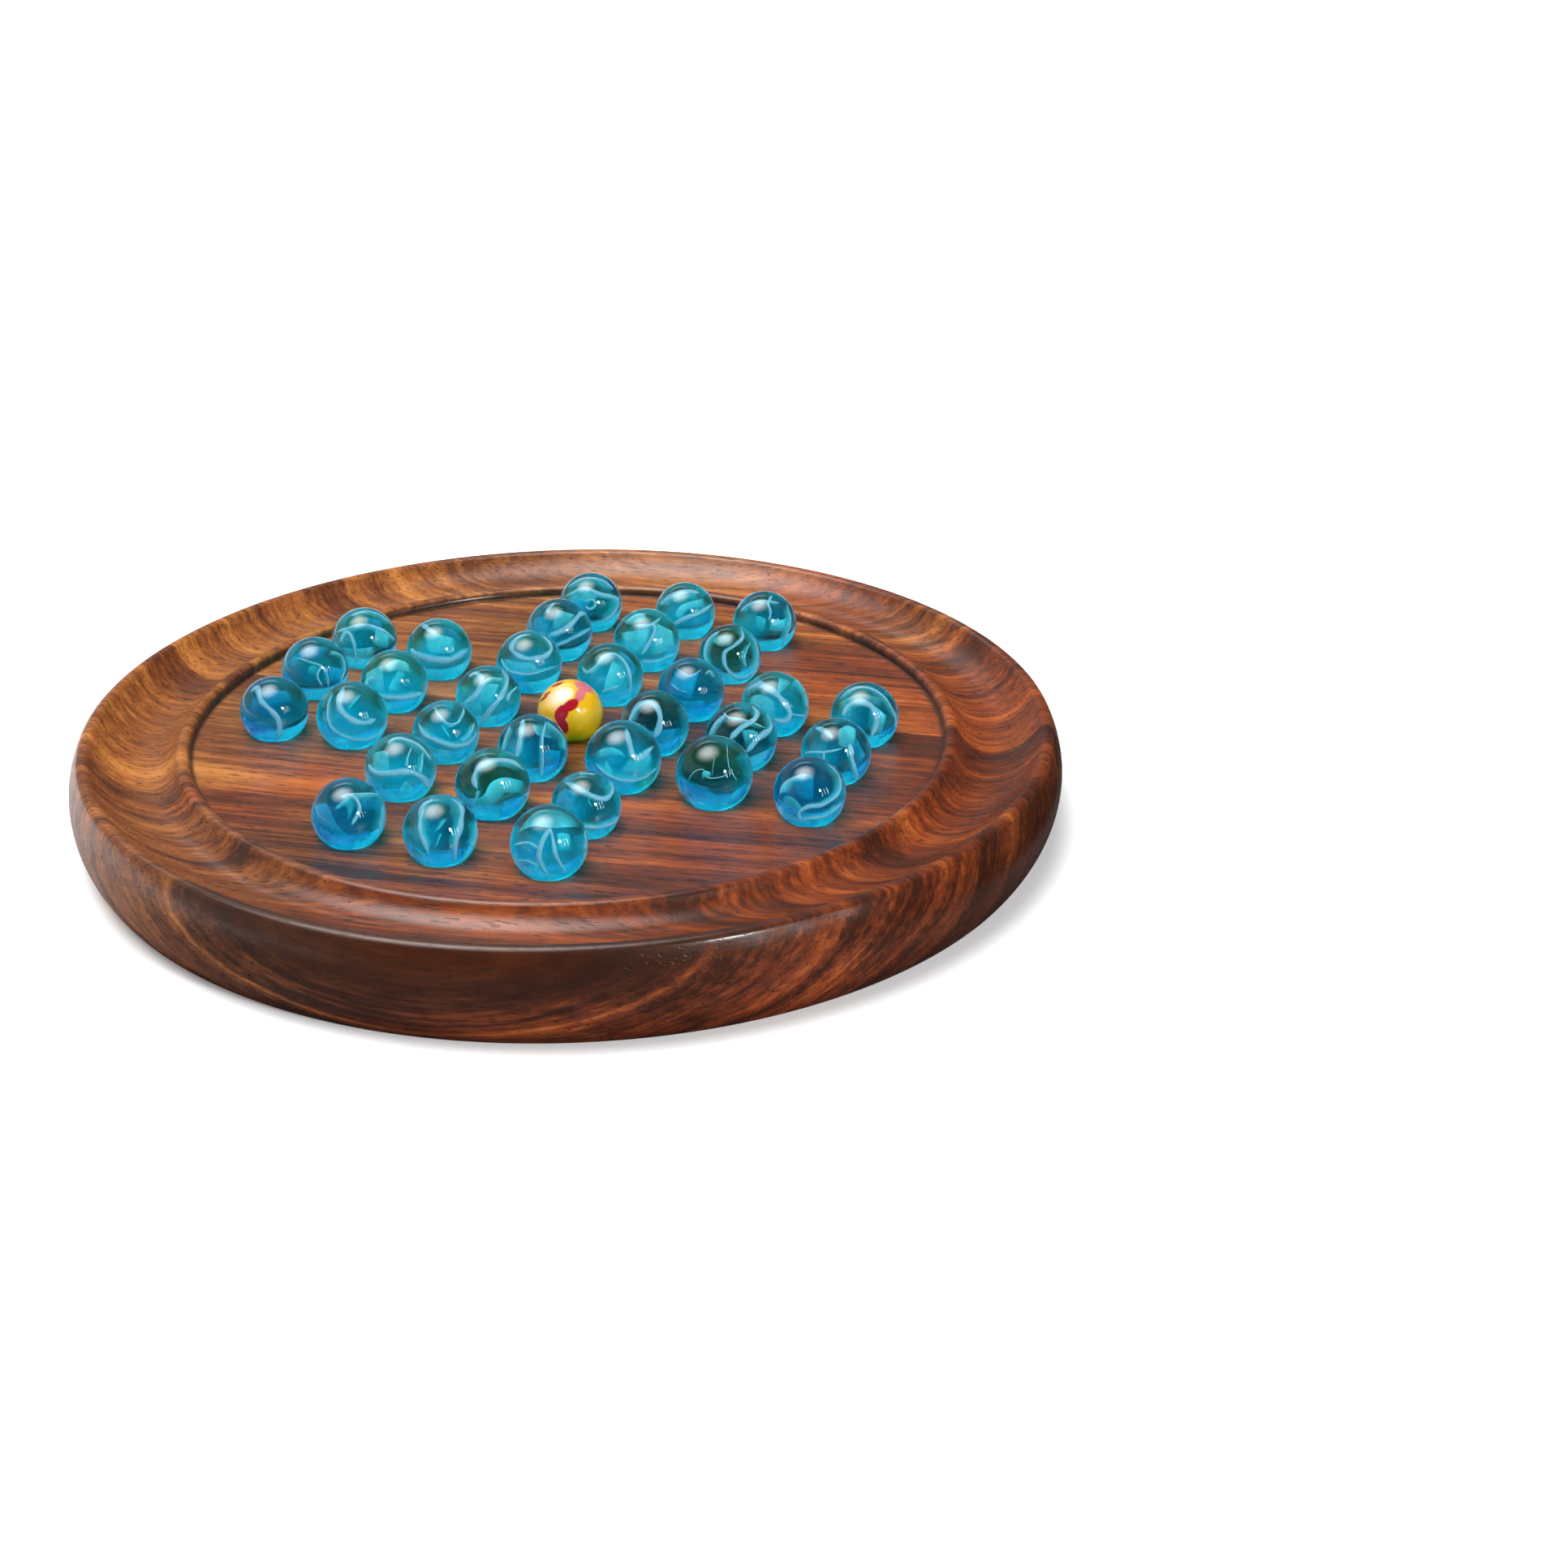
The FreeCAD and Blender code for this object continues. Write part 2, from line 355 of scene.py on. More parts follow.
def board_outline():
    """The turned outline from the middle of the underside, up the side and in to the field's edge."""
    side = (SIDE_WIDEST - SIDE_RADIUS, SIDE_HEIGHT)
    drop = SIDE_HEIGHT - BASE_EDGE
    base = (side[0] + math.sqrt((SIDE_RADIUS - BASE_EDGE) ** 2 - drop ** 2), BASE_EDGE)
    base_turn = math.degrees(math.atan2(drop, base[0] - side[0]))
    rise = BOARD_HEIGHT - LIP_RADIUS - SIDE_HEIGHT
    lip = (side[0] + math.sqrt((SIDE_RADIUS - LIP_RADIUS) ** 2 - rise ** 2), BOARD_HEIGHT - LIP_RADIUS)
    lip_turn = math.degrees(math.atan2(rise, lip[0] - side[0]))
    outer = tangent_radius(lip[0] - GUTTER_RADIUS, lip[1] - GUTTER_FLOOR, LIP_RADIUS)
    outer_centre = (GUTTER_RADIUS, GUTTER_FLOOR + outer)
    outer_turn = math.degrees(math.atan2(lip[1] - outer_centre[1], lip[0] - GUTTER_RADIUS))
    bead = (FIELD_RADIUS + BEAD_RADIUS, BEAD_TOP - BEAD_RADIUS)
    inner = tangent_radius(GUTTER_RADIUS - bead[0], bead[1] - GUTTER_FLOOR, BEAD_RADIUS)
    inner_centre = (GUTTER_RADIUS, GUTTER_FLOOR + inner)
    inner_turn = math.degrees(math.atan2(inner_centre[1] - bead[1], GUTTER_RADIUS - bead[0]))
    points = [(radius, 0.0) for radius in UNDERSIDE_RINGS]
    points += arc(base, BASE_EDGE, -90, -base_turn, 8)
    points += arc(side, SIDE_RADIUS, -base_turn, lip_turn, 44)[1:]
    points += arc(lip, LIP_RADIUS, lip_turn, 180 + outer_turn, 22)[1:]
    points += arc(outer_centre, outer, outer_turn, -90, 30)[1:]
    points += arc(inner_centre, inner, 270, 180 + inner_turn, 22)[1:]
    points += arc(bead, BEAD_RADIUS, inner_turn, 176, 20)[1:]
    points += [(FIELD_RADIUS - inward, FIELD_HEIGHT + up) for inward, up in FIELD_CORNER]
    return points


def add_ring(bm, centre, radius, height, steps):
    ring = []
    for i in range(steps):
        angle = 2 * math.pi * i / steps
        ring.append(bm.verts.new(((centre[0] + radius * math.cos(angle)) * MM,
                                  (centre[1] + radius * math.sin(angle)) * MM, height * MM)))
    return ring


def bridge(bm, first, second):
    for i, (a, b) in enumerate(zip(first, second)):
        bm.faces.new((first[i - 1], a, b, second[i - 1]))


def close(bm, ring, point):
    for i, corner in enumerate(ring):
        bm.faces.new((ring[i - 1], corner, point))


def add_seat(bm, centre, ball_radius):
    """A drilled seat with a worn rim. Gives back its outer ring, which lies in the field."""
    hollow = ball_radius + SEAT_GAP
    drop = centre[2] - FIELD_HEIGHT + RIM_ROUND
    reach = math.sqrt((hollow + RIM_ROUND) ** 2 - drop ** 2)
    slope = math.atan2(drop, reach)
    rings = [add_ring(bm, centre, reach, FIELD_HEIGHT, SEAT_STEPS)]
    for i in range(1, RIM_STEPS + 1):
        angle = math.pi / 2 + (math.pi / 2 - slope) * i / RIM_STEPS
        rings.append(add_ring(bm, centre, reach + RIM_ROUND * math.cos(angle),
                              FIELD_HEIGHT - RIM_ROUND + RIM_ROUND * math.sin(angle), SEAT_STEPS))
    for i in range(1, HOLLOW_STEPS):
        angle = slope + (math.pi / 2 - slope) * i / HOLLOW_STEPS
        rings.append(add_ring(bm, centre, hollow * math.cos(angle),
                              centre[2] - hollow * math.sin(angle), SEAT_STEPS))
    for first, second in zip(rings, rings[1:]):
        bridge(bm, first, second)
    close(bm, rings[-1], bm.verts.new((centre[0] * MM, centre[1] * MM, (centre[2] - hollow) * MM)))
    return rings[0]


def fill_field(bm, edge, seat_rings, seats):
    """The flat field between the bead's foot and the seats."""
    verts = list(edge)
    loops = [list(range(len(edge)))]
    for ring in seat_rings:
        loops.append(list(range(len(verts), len(verts) + len(ring))))
        verts += ring
    edges = [(loop[i], loop[(i + 1) % len(loop)]) for loop in loops for i in range(len(loop))]
    flat = [Vector((v.co.x, v.co.y)) * 1000 for v in verts]
    result = delaunay_2d_cdt(flat, edges, [], 0, 1e-6)
    for triangle in result[2]:
        corners = [result[3][i][0] for i in triangle]
        middle = sum((flat[corner] for corner in corners), Vector((0, 0))) / 3
        in_seat = any((middle - Vector(c[:2])).length < r * 0.55 for c, r in seats)
        touched = {next((k for k, loop in enumerate(loops) if corner in loop), 0) for corner in corners}
        in_one_ring = len(touched) == 1 and (0 not in touched or middle.length > FIELD_RADIUS)
        if not in_seat and not in_one_ring:
            bm.faces.new([verts[corner] for corner in corners])


def make_board(wood):
    bm = bmesh.new()
    middle = bm.verts.new((0, 0, 0))
    rings = [add_ring(bm, (0, 0), radius, height, ROUND_STEPS) for radius, height in board_outline()]
    close(bm, rings[0], middle)
    for inner, outer in zip(rings, rings[1:]):
        bridge(bm, outer, inner)
    seats = []
    for name in marble_names():
        low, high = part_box(name)
        seats.append(((low + high) / 2 / MM, (high.z - low.z) / 2 / MM))
    seat_rings = [add_seat(bm, centre, radius) for centre, radius in seats]
    fill_field(bm, rings[-1], seat_rings, seats)
    bmesh.ops.recalc_face_normals(bm, faces=bm.faces)
    board = as_object(bm, "turned_board", wood)
    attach(board, "board")
    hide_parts("board")


# ---------------------------------------------------------------- marbles
GLASS_TINT = (0.80, 0.98, 1.0)
GLASS_SHADE = (0.93, 0.97, 0.98)       # what a marble's shadow keeps of the light
GLASS_SOAK = (0.0, 0.885, 0.955)
SOAK_DENSITY = 250.0
GLASS_IOR = 1.5
VEIN_CLEAR = (0.9, 0.99, 1.0)


def blue_glass():
    """Clear glass that soaks up red over its depth. Light from lamps passes it."""
    n = new_material("aqua_glass")
    glass = n.add("ShaderNodeBsdfPrincipled", Roughness=0.0, IOR=GLASS_IOR)
    glass.inputs["Base Color"].default_value = (*GLASS_TINT, 1)
    glass.inputs["Transmission Weight"].default_value = 1.0
    lamp = n.add("ShaderNodeLightPath").outputs["Is Shadow Ray"]
    soak = n.add("ShaderNodeVolumeAbsorption")
    soak.inputs["Color"].default_value = (*GLASS_SOAK, 1)
    soak.inputs["Density"].default_value = SOAK_DENSITY
    surface = n.shader_mix(lamp, glass.outputs[0], n.transparent(GLASS_SHADE))
    return n.finish(surface, Volume=soak.outputs[0])


def add_milky(n, amount, colour, glow, clear):
    """A see-through surface, milky where the amount is high. The glow is how much light comes through it."""
    lit_through = n.add("ShaderNodeBsdfTranslucent", Color=colour).outputs[0]
    solid = n.shader_mix(glow, n.diffuse(colour), lit_through)
    return n.finish(n.shader_mix(amount, n.transparent(clear), solid))


def fade_of(n):
    return n.add("ShaderNodeAttribute", {"attribute_name": "fade"}).outputs["Fac"]


def vein_glass(name, colour, patchy):
    """Milky glass of the swirls' outer edges, thin at the sides of a strand."""
    n = new_material(name)
    cloud = n.noise(n.place(), 420, 3)
    tint = n.mix(n.ramp(cloud, 0.35, 0.7), colour, patchy)
    amount = n.times(n.ramp(fade_of(n), 0.0, 0.55), n.ramp(cloud, 0.3, 0.7, 0.60, 0.85))
    return add_milky(n, amount, tint, 0.4, VEIN_CLEAR)


def veil_glass(name, body, share, clear):
    """A thin coloured layer inside the clear glass, fading towards its inner edge."""
    n = new_material(name)
    cloud = n.noise(n.place(), 260, 3)
    patchy = n.ramp(cloud, 0.2, 0.8, share * 0.6, share * 1.3)
    amount = n.math("MULTIPLY", patchy, fade_of(n), clamp=True)
    return add_milky(n, amount, (*body, 1), 0.5, clear)


MILK, AQUA, BLUE = 0, 1, 2             # a swirl's material slots
VEIN_LEVEL = 0.93                      # how near the surface a vein lies, of the ball's radius
VEIN_TOP = 0.935
VEIL_TOP = 0.93
VEIN_HALF_WIDTH = 0.68
VEIN_THICKNESS = 0.03
OUTLINE = 0.985                        # the farthest out a drawn point may lie
PATCH_LEVEL = 0.80
LINE_STEPS = 8
SHEET_STEPS = 8
PATCH_RINGS, PATCH_SPOKES = 6, 20


def spline(points, steps):
    """A smooth line through the points (Catmull-Rom)."""
    padded = [points[0] * 2 - points[1]] + points + [points[-1] * 2 - points[-2]]
    line = []
    for a, b, c, d in zip(padded, padded[1:], padded[2:], padded[3:]):
        for i in range(steps):
            t = i / steps
            line.append(0.5 * (2 * b + (c - a) * t + (2 * a - 5 * b + 4 * c - d) * t ** 2
                               + (3 * b - 3 * c + d - a) * t ** 3))
    line.append(points[-1])
    return line


def on_ball(axes, across, up, level):
    """A point of a ball of radius 1, where (across, up) is seen from the front. A level below 0 is in
    the far half."""
    flat = Vector((across, up))
    if flat.length > OUTLINE:
        flat *= OUTLINE / flat.length
    near = math.sqrt(max(0.0, 1 - flat.length_squared))
    right, top, front = axes
    if level < 0:
        return (right * flat.x + top * flat.y - front * near) * -level
    return (right * flat.x + top * flat.y + front * near) * level


def line_on_ball(axes, points, level, highest):
    line = spline([on_ball(axes, x, y, level) for x, y in points], LINE_STEPS)
    return [p.normalized() * min(p.length, highest) for p in line]


def add_vein(bm, fade, line, width):
    """A flattened strand of milky glass along the line, tapered at both ends."""
    count = len(line)
    rings = []
    for i, p in enumerate(line):
        ahead = line[min(i + 1, count - 1)] - line[max(i - 1, 0)]
        out = p.normalized()
        side = ahead.cross(out).normalized()
        t = i / (count - 1)
        from_end = min(t, 1 - t)
        taper = min(1, 9 * from_end + 0.30)
        half = VEIN_HALF_WIDTH * width * taper * (0.9 + 0.5 * noise.noise(p * 3))
        thick = VEIN_THICKNESS * taper
        ring = [bm.verts.new(p + side * half), bm.verts.new(p + out * thick),
                bm.verts.new(p - side * half), bm.verts.new(p - out * thick)]
        ring[1][fade] = ring[3][fade] = min(1.0, 6 * from_end + 0.2)
        rings.append(ring)
    for a, b in zip(rings, rings[1:]):
        for k in range(4):
            m = (k + 1) % 4
            bm.faces.new((a[k], b[k], b[m], a[m])).material_index = MILK
    bm.faces.new(reversed(rings[0])).material_index = MILK
    bm.faces.new(rings[-1]).material_index = MILK


def add_sheet(bm, fade, first, second, strength, material):
    """A veil ruled from one line to another, with its strength along each, and gone at its ends."""
    rows = []
    for i, (p, q) in enumerate(zip(first, second)):
        t = i / (len(first) - 1)
        ends = min(1.0, 7 * min(t, 1 - t))
        row = []
        for j in range(SHEET_STEPS + 1):
            s = j / SHEET_STEPS
            v = bm.verts.new(p.lerp(q, s))
            v[fade] = ends * (strength[0] * (1 - s) + strength[1] * s)
            row.append(v)
        rows.append(row)
    for a, b in zip(rows, rows[1:]):
        for j in range(SHEET_STEPS):
            bm.faces.new((a[j], b[j], b[j + 1], a[j + 1])).material_index = material


def add_patch(bm, fade, axes, strength, middle, reach, material):
    """A round veil in the far half of a ball, thickest in its middle."""
    rows = []
    for i in range(PATCH_RINGS + 1):
        out = max(i / PATCH_RINGS, 0.02)
        row = []
        for k in range(PATCH_SPOKES):
            angle = 2 * math.pi * k / PATCH_SPOKES
            x = middle[0] + reach[0] * out * math.cos(angle)
            y = middle[1] + reach[1] * out * math.sin(angle)
            v = bm.verts.new(on_ball(axes, x, y, -PATCH_LEVEL + 0.06 * math.sin(3 * angle) * out))
            v[fade] = strength * (1 - out ** 2)
            row.append(v)
        rows.append(row)
    for a, b in zip(rows, rows[1:]):
        for k in range(PATCH_SPOKES):
            m = (k + 1) % PATCH_SPOKES
            bm.faces.new((a[k], b[k], b[m], a[m])).material_index = material


def build_swirl(name, centre, radius, axes, recipe, materials):
    """The coloured glass in a marble. A vein runs near the surface and a veil hangs in from it;
    a fill is a veil between two lines."""
    bm = bmesh.new()
    fade = bm.verts.layers.float.new("fade")
    for kind, *rest in recipe:
        if kind in ("vein", "behind"):
            width, depth, points = rest
            level = VEIN_LEVEL if kind == "vein" else -VEIN_LEVEL
            line = line_on_ball(axes, points, level, VEIN_TOP)
            add_vein(bm, fade, line, width)
            if depth:
                inner = [p * (1 - depth) for p in line]
                add_sheet(bm, fade, [p * 0.99 for p in line], inner, (1.0, 0.0), AQUA)
        elif kind in ("sea", "ink"):
            strength, middle, reach = rest
            add_patch(bm, fade, axes, strength, middle, reach, BLUE if kind == "ink" else AQUA)
        else:
            level, strength, *edges = rest
            first, second = (line_on_ball(axes, points, level, VEIL_TOP) for points in edges)
            material = BLUE if kind == "deep" else AQUA
            add_sheet(bm, fade, first, second, (strength, 0.2 * strength), material)
    for v in bm.verts:
        v.co *= radius
    return as_object(bm, name, *materials, at=centre)


# What each marble holds, as seen from the front on a disc of radius 1. A vein has its width, the
# depth of the veil that hangs in from it, and its line. A pale or deep fill has how near the surface
# it lies, its strength and the two lines it runs between. The lines are drawn one by one.
SWIRLS = {
    "c1": (
        ("deep", 0.90, 1.0, ((-0.95, 0.25), (-0.60, 0.35), (-0.35, -0.25), (0.10, -0.75)),
         ((-0.97, 0.0), (-0.85, -0.45), (-0.50, -0.80), (0.0, -0.97))),
        ("pale", 0.60, 0.9, ((-0.55, 0.30), (0.0, 0.60), (0.30, 0.30)), ((-0.50, 0.20), (-0.10, 0.30),
          (-0.05, -0.35))),
        ("deep", 0.75, 0.7, ((0.40, 0.45), (0.90, 0.40)), ((0.30, 0.10), (0.95, 0.05))),
        ("vein", 0.06, 0.5, ((-0.20, 0.50), (0.05, 0.56), (0.50, 0.55), (0.92, 0.50))),
        ("vein", 0.10, 0.4, ((0.02, 0.60), (0.25, 0.40), (0.30, 0.10), (0.05, -0.30))),
        ("vein", 0.08, 0.3, ((0.93, 0.25), (0.95, -0.10), (0.80, -0.45))),
    ),
    "d1": (
        ("vein", 0.14, 0.5, ((-0.10, 0.92), (-0.42, 0.75), (-0.52, 0.40), (-0.55, 0.10), (-0.45, -0.30),
          (-0.35, -0.60))),
        ("vein", 0.16, 0.6, ((0.35, 0.88), (0.60, 0.65), (0.58, 0.20), (0.40, -0.35), (0.33, -0.85))),
        ("vein", 0.10, 0.4, ((0.95, 0.25), (0.97, -0.10), (0.82, -0.50))),
        ("pale", 0.60, 1.0, ((0.30, 0.50), (0.0, 0.15), (-0.40, -0.10)), ((0.05, 0.50), (-0.20, 0.05),
          (-0.40, -0.12))),
        ("pale", 0.55, 1.0, ((0.05, -0.05), (-0.05, -0.30), (-0.20, -0.60)), ((0.0, -0.05), (-0.15, -0.30),
          (-0.25, -0.60))),
        ("deep", 0.85, 0.6, ((-0.50, -0.50), (0.10, -0.55), (0.60, -0.50)), ((-0.40, -0.90), (0.0, -0.97),
          (0.50, -0.85))),
    ),
    "e1": (
        ("pale", 0.80, 0.9, ((-0.85, 0.35), (-0.40, 0.52), (0.10, 0.45), (0.90, 0.40)),
         ((-0.70, 0.60), (-0.20, 0.93), (0.30, 0.90), (0.80, 0.60))),
        ("vein", 0.12, 0.5, ((0.05, 0.42), (-0.18, 0.05), (-0.28, -0.40), (-0.05, -0.85))),
        ("vein", 0.10, 0.4, ((0.04, 0.42), (0.12, 0.0), (0.18, -0.35), (0.42, -0.80))),
        ("vein", 0.06, 0.5, ((-0.92, 0.0), (-0.55, 0.05), (-0.28, -0.12))),
        ("vein", 0.08, 0.4, ((-0.90, -0.40), (-0.55, -0.45), (-0.28, -0.62))),
        ("pale", 0.55, 1.0, ((0.30, 0.35), (0.50, 0.38), (0.80, 0.30)), ((0.28, -0.25), (0.55, -0.30),
          (0.85, -0.22))),
        ("vein", 0.12, 0.2, ((0.93, 0.30), (0.97, 0.05), (0.93, -0.20))),
        ("deep", 0.85, 0.5, ((-0.90, -0.05), (-0.55, -0.10), (-0.25, -0.20)), ((-0.85, -0.35),
          (-0.50, -0.45), (-0.25, -0.50))),
    ),
    "c2": (
        ("vein", 0.15, 0.4, ((-0.32, 0.72), (-0.10, 0.88), (0.20, 0.83), (0.60, 0.60), (0.90, 0.15))),
        ("vein", 0.17, 0.6, ((-0.92, 0.20), (-0.75, -0.05), (-0.30, -0.12), (0.20, -0.10), (0.60, -0.30),
          (0.80, -0.62))),
        ("vein", 0.05, 0.5, ((0.35, 0.60), (0.22, 0.30), (0.18, 0.05))),
        ("vein", 0.05, 0.4, ((0.66, 0.45), (0.62, 0.10), (0.56, -0.20))),
        ("pale", 0.80, 0.7, ((-0.80, 0.50), (-0.50, 0.60), (-0.35, 0.55)), ((-0.90, 0.15), (-0.60, 0.0),
          (-0.30, 0.0))),
        ("pale", 0.70, 0.9, ((-0.10, -0.75), (0.15, -0.45), (0.40, -0.75)), ((-0.20, -0.90), (0.15, -0.95),
          (0.40, -0.90))),
    ),
    "d2": (
        ("vein", 0.17, 0.4, ((-0.42, -0.10), (-0.50, 0.22), (-0.30, 0.55), (0.15, 0.68), (0.60, 0.60),
          (0.88, 0.35))),
        ("pale", 0.75, 1.1, ((-0.88, -0.35), (-0.35, -0.35), (-0.05, 0.08), (0.40, 0.22), (0.97, 0.05)),
         ((-0.60, -0.75), (0.0, -0.65), (0.35, -0.30), (0.60, -0.28), (0.95, -0.25))),
        ("vein", 0.04, 0.4, ((-0.42, -0.12), (-0.47, -0.32), (-0.58, -0.50))),
        ("deep", 0.85, 0.8, ((0.25, -0.50), (0.60, -0.42), (0.90, -0.35)), ((0.15, -0.92), (0.50, -0.85),
          (0.80, -0.60))),
    ),
    "e2": (
        ("vein", 0.15, 0.5, ((-0.60, 0.72), (-0.15, 0.48), (0.30, 0.24), (0.62, 0.22), (0.78, 0.45),
          (0.68, 0.72))),
        ("vein", 0.10, 0.2, ((-0.20, 0.93), (0.05, 0.95), (0.30, 0.90))),
        ("vein", 0.15, 0.4, ((-0.30, -0.58), (0.10, -0.62), (0.45, -0.62), (0.82, -0.48), (0.95, -0.28))),
        ("deep", 0.85, 0.8, ((-0.90, 0.30), (-0.60, 0.55), (-0.25, 0.35)), ((-0.95, -0.05), (-0.60, 0.0),
          (-0.35, -0.10))),
        ("pale", 0.60, 0.7, ((0.05, 0.75), (0.05, 0.40), (0.10, 0.10)), ((0.18, 0.75), (0.15, 0.40),
          (0.30, -0.25))),
    ),
    "a3": (
        ("vein", 0.16, 0.35, ((-0.66, 0.60), (-0.46, 0.70), (-0.38, 0.32), (-0.12, 0.0), (0.08, -0.30),
          (0.10, -0.62), (-0.03, -0.92))),
        ("deep", 0.70, 0.7, ((-0.80, 0.40), (-0.20, 0.70), (0.60, 0.60)), ((-0.90, -0.10), (-0.10, 0.20),
          (0.80, 0.20))),
        ("deep", 0.88, 0.5, ((-0.90, -0.30), (-0.45, -0.35), (0.0, -0.50)), ((-0.70, -0.70),
          (-0.40, -0.80), (-0.05, -0.92))),
    ),
    "b3": (
        ("vein", 0.17, 0.5, ((-0.15, 0.88), (-0.35, 0.50), (-0.30, 0.18), (0.0, -0.12), (0.38, -0.22),
          (0.68, -0.12))),
        ("vein", 0.08, 0.3, ((-0.52, 0.70), (-0.70, 0.20), (-0.60, -0.30), (-0.15, -0.62), (0.45, -0.70),
          (0.90, -0.42))),
        ("pale", 0.60, 0.8, ((0.45, 0.80), (0.10, 0.50), (-0.10, 0.30)), ((0.25, 0.85), (-0.05, 0.55),
          (-0.25, 0.30))),
        ("deep", 0.85, 0.5, ((-0.90, 0.30), (-0.80, -0.10), (-0.70, -0.45)), ((-0.70, 0.30),
          (-0.60, -0.10), (-0.30, -0.50))),
    ),
    "c3": (
        ("vein", 0.15, 0.6, ((-0.82, 0.38), (-0.65, 0.0), (-0.20, -0.25), (0.30, -0.40), (0.75, -0.30),
          (0.97, 0.05))),
        ("vein", 0.07, 0.5, ((-0.30, 0.85), (-0.18, 0.58), (0.10, 0.30), (0.38, 0.32), (0.55, 0.55),
          (0.58, 0.78))),
        ("vein", 0.06, 0.4, ((0.88, 0.30), (0.75, -0.05), (0.45, -0.28))),
        ("pale", 0.50, 1.0, ((-0.25, 0.50), (-0.05, 0.10), (0.20, -0.25)), ((-0.10, 0.50), (0.05, 0.20),
          (0.22, -0.20))),
        ("pale", 0.80, 0.7, ((-0.80, -0.20), (-0.30, -0.50), (0.20, -0.60)), ((-0.60, -0.60),
          (-0.20, -0.80), (0.20, -0.90))),
    ),
    "d3": (
        ("vein", 0.15, 0.5, ((-0.22, 0.90), (-0.33, 0.45), (-0.40, 0.10), (-0.50, -0.25))),
        ("vein", 0.09, 0.3, ((-0.60, 0.70), (-0.80, 0.30), (-0.90, -0.10))),
        ("vein", 0.07, 0.6, ((0.42, 0.80), (0.30, 0.30), (0.28, -0.35), (0.20, -0.85))),
        ("vein", 0.08, 0.4, ((0.40, 0.78), (0.65, 0.60), (0.90, 0.30), (0.95, -0.10))),
        ("pale", 0.75, 0.7, ((0.0, 0.85), (0.10, 0.60), (0.20, 0.45)), ((0.40, 0.80), (0.60, 0.50),
          (0.90, 0.20))),
        ("deep", 0.80, 0.6, ((0.30, -0.10), (0.60, -0.05), (0.92, -0.10)), ((0.20, -0.80), (0.50, -0.75),
          (0.75, -0.60))),
    ),
    "e3": (
        ("vein", 0.15, 0.5, ((0.10, 0.80), (0.18, 0.40), (0.28, 0.05), (0.50, 0.02), (0.82, 0.32))),
        ("vein", 0.08, 0.5, ((-0.75, -0.10), (-0.45, -0.42), (0.0, -0.60), (0.50, -0.56), (0.90, -0.25))),
        ("pale", 0.65, 1.0, ((-0.85, 0.25), (-0.50, 0.40), (-0.15, 0.30), (0.10, 0.05)), ((-0.90, 0.05),
          (-0.50, 0.12), (-0.10, 0.12), (0.10, 0.0))),
        ("pale", 0.70, 0.8, ((0.20, 0.0), (0.55, 0.05), (0.90, 0.10)), ((-0.20, -0.45), (0.40, -0.50),
          (0.90, -0.25))),
        ("pale", 0.80, 0.8, ((-0.52, -0.05), (-0.50, -0.12), (-0.48, -0.05)), ((-0.72, -0.50),
          (-0.50, -0.55), (-0.22, -0.50))),
    ),
    "f3": (
        ("vein", 0.024, 0.0, ((0.34, 0.80), (0.36, 0.45), (0.42, 0.10), (0.62, -0.20))),
        ("vein", 0.016, 0.0, ((0.02, 0.45), (-0.04, 0.15), (-0.06, -0.05))),
        ("vein", 0.028, 0.0, ((-0.70, -0.20), (-0.55, 0.05), (-0.30, 0.12), (-0.15, -0.10), (0.25, -0.06),
          (0.32, 0.12))),
        ("pale", 0.60, 1.0, ((-0.45, 0.05), (-0.30, 0.12), (-0.12, 0.05)), ((-0.50, -0.20), (-0.30, -0.15),
          (-0.12, -0.10))),
        ("deep", 0.85, 0.7, ((-0.95, 0.0), (-0.60, -0.25), (-0.10, -0.40)), ((-0.85, -0.45),
          (-0.50, -0.75), (0.0, -0.90))),
    ),
    "g3": (
        ("vein", 0.12, 0.5, ((-0.84, -0.05), (-0.72, 0.24), (-0.42, 0.42), (-0.05, 0.50))),
        ("vein", 0.12, 0.4, ((0.40, 0.86), (0.80, 0.50), (0.84, 0.05), (0.42, -0.32), (-0.08, -0.42),
          (-0.32, -0.62), (-0.15, -0.88))),
        ("vein", 0.14, 0.3, ((0.92, -0.25), (0.45, -0.65), (0.05, -0.72), (-0.30, -0.78))),
        ("pale", 0.75, 0.9, ((-0.80, -0.05), (-0.50, -0.20), (-0.15, -0.60)), ((-0.88, -0.30),
          (-0.65, -0.50), (-0.30, -0.80))),
        ("deep", 0.70, 0.8, ((-0.60, 0.40), (-0.10, 0.60), (0.15, 0.60)), ((-0.50, -0.05), (-0.05, -0.25),
          (0.15, -0.20))),
    ),
    "a4": (
        ("vein", 0.05, 0.5, ((-0.58, 0.42), (-0.15, 0.26), (0.20, 0.10), (0.36, -0.20), (0.34, -0.62))),
        ("vein", 0.05, 0.3, ((0.50, 0.55), (0.85, 0.36), (0.92, -0.05), (0.72, -0.45))),
        ("vein", 0.05, 0.5, ((0.20, 0.10), (0.05, -0.20), (0.18, -0.55))),
        ("pale", 0.55, 0.9, ((-0.30, 0.15), (-0.10, 0.20), (0.15, 0.10)), ((-0.40, -0.10), (-0.10, -0.25),
          (0.05, -0.30))),
        ("deep", 0.80, 0.9, ((-0.90, 0.30), (-0.20, 0.75), (0.50, 0.70)), ((-0.80, 0.05), (-0.30, 0.40),
          (0.30, 0.40))),
        ("deep", 0.85, 0.8, ((0.40, 0.10), (0.70, 0.0), (0.95, -0.05)), ((0.30, -0.60), (0.55, -0.60),
          (0.80, -0.50))),
    ),
    "b4": (
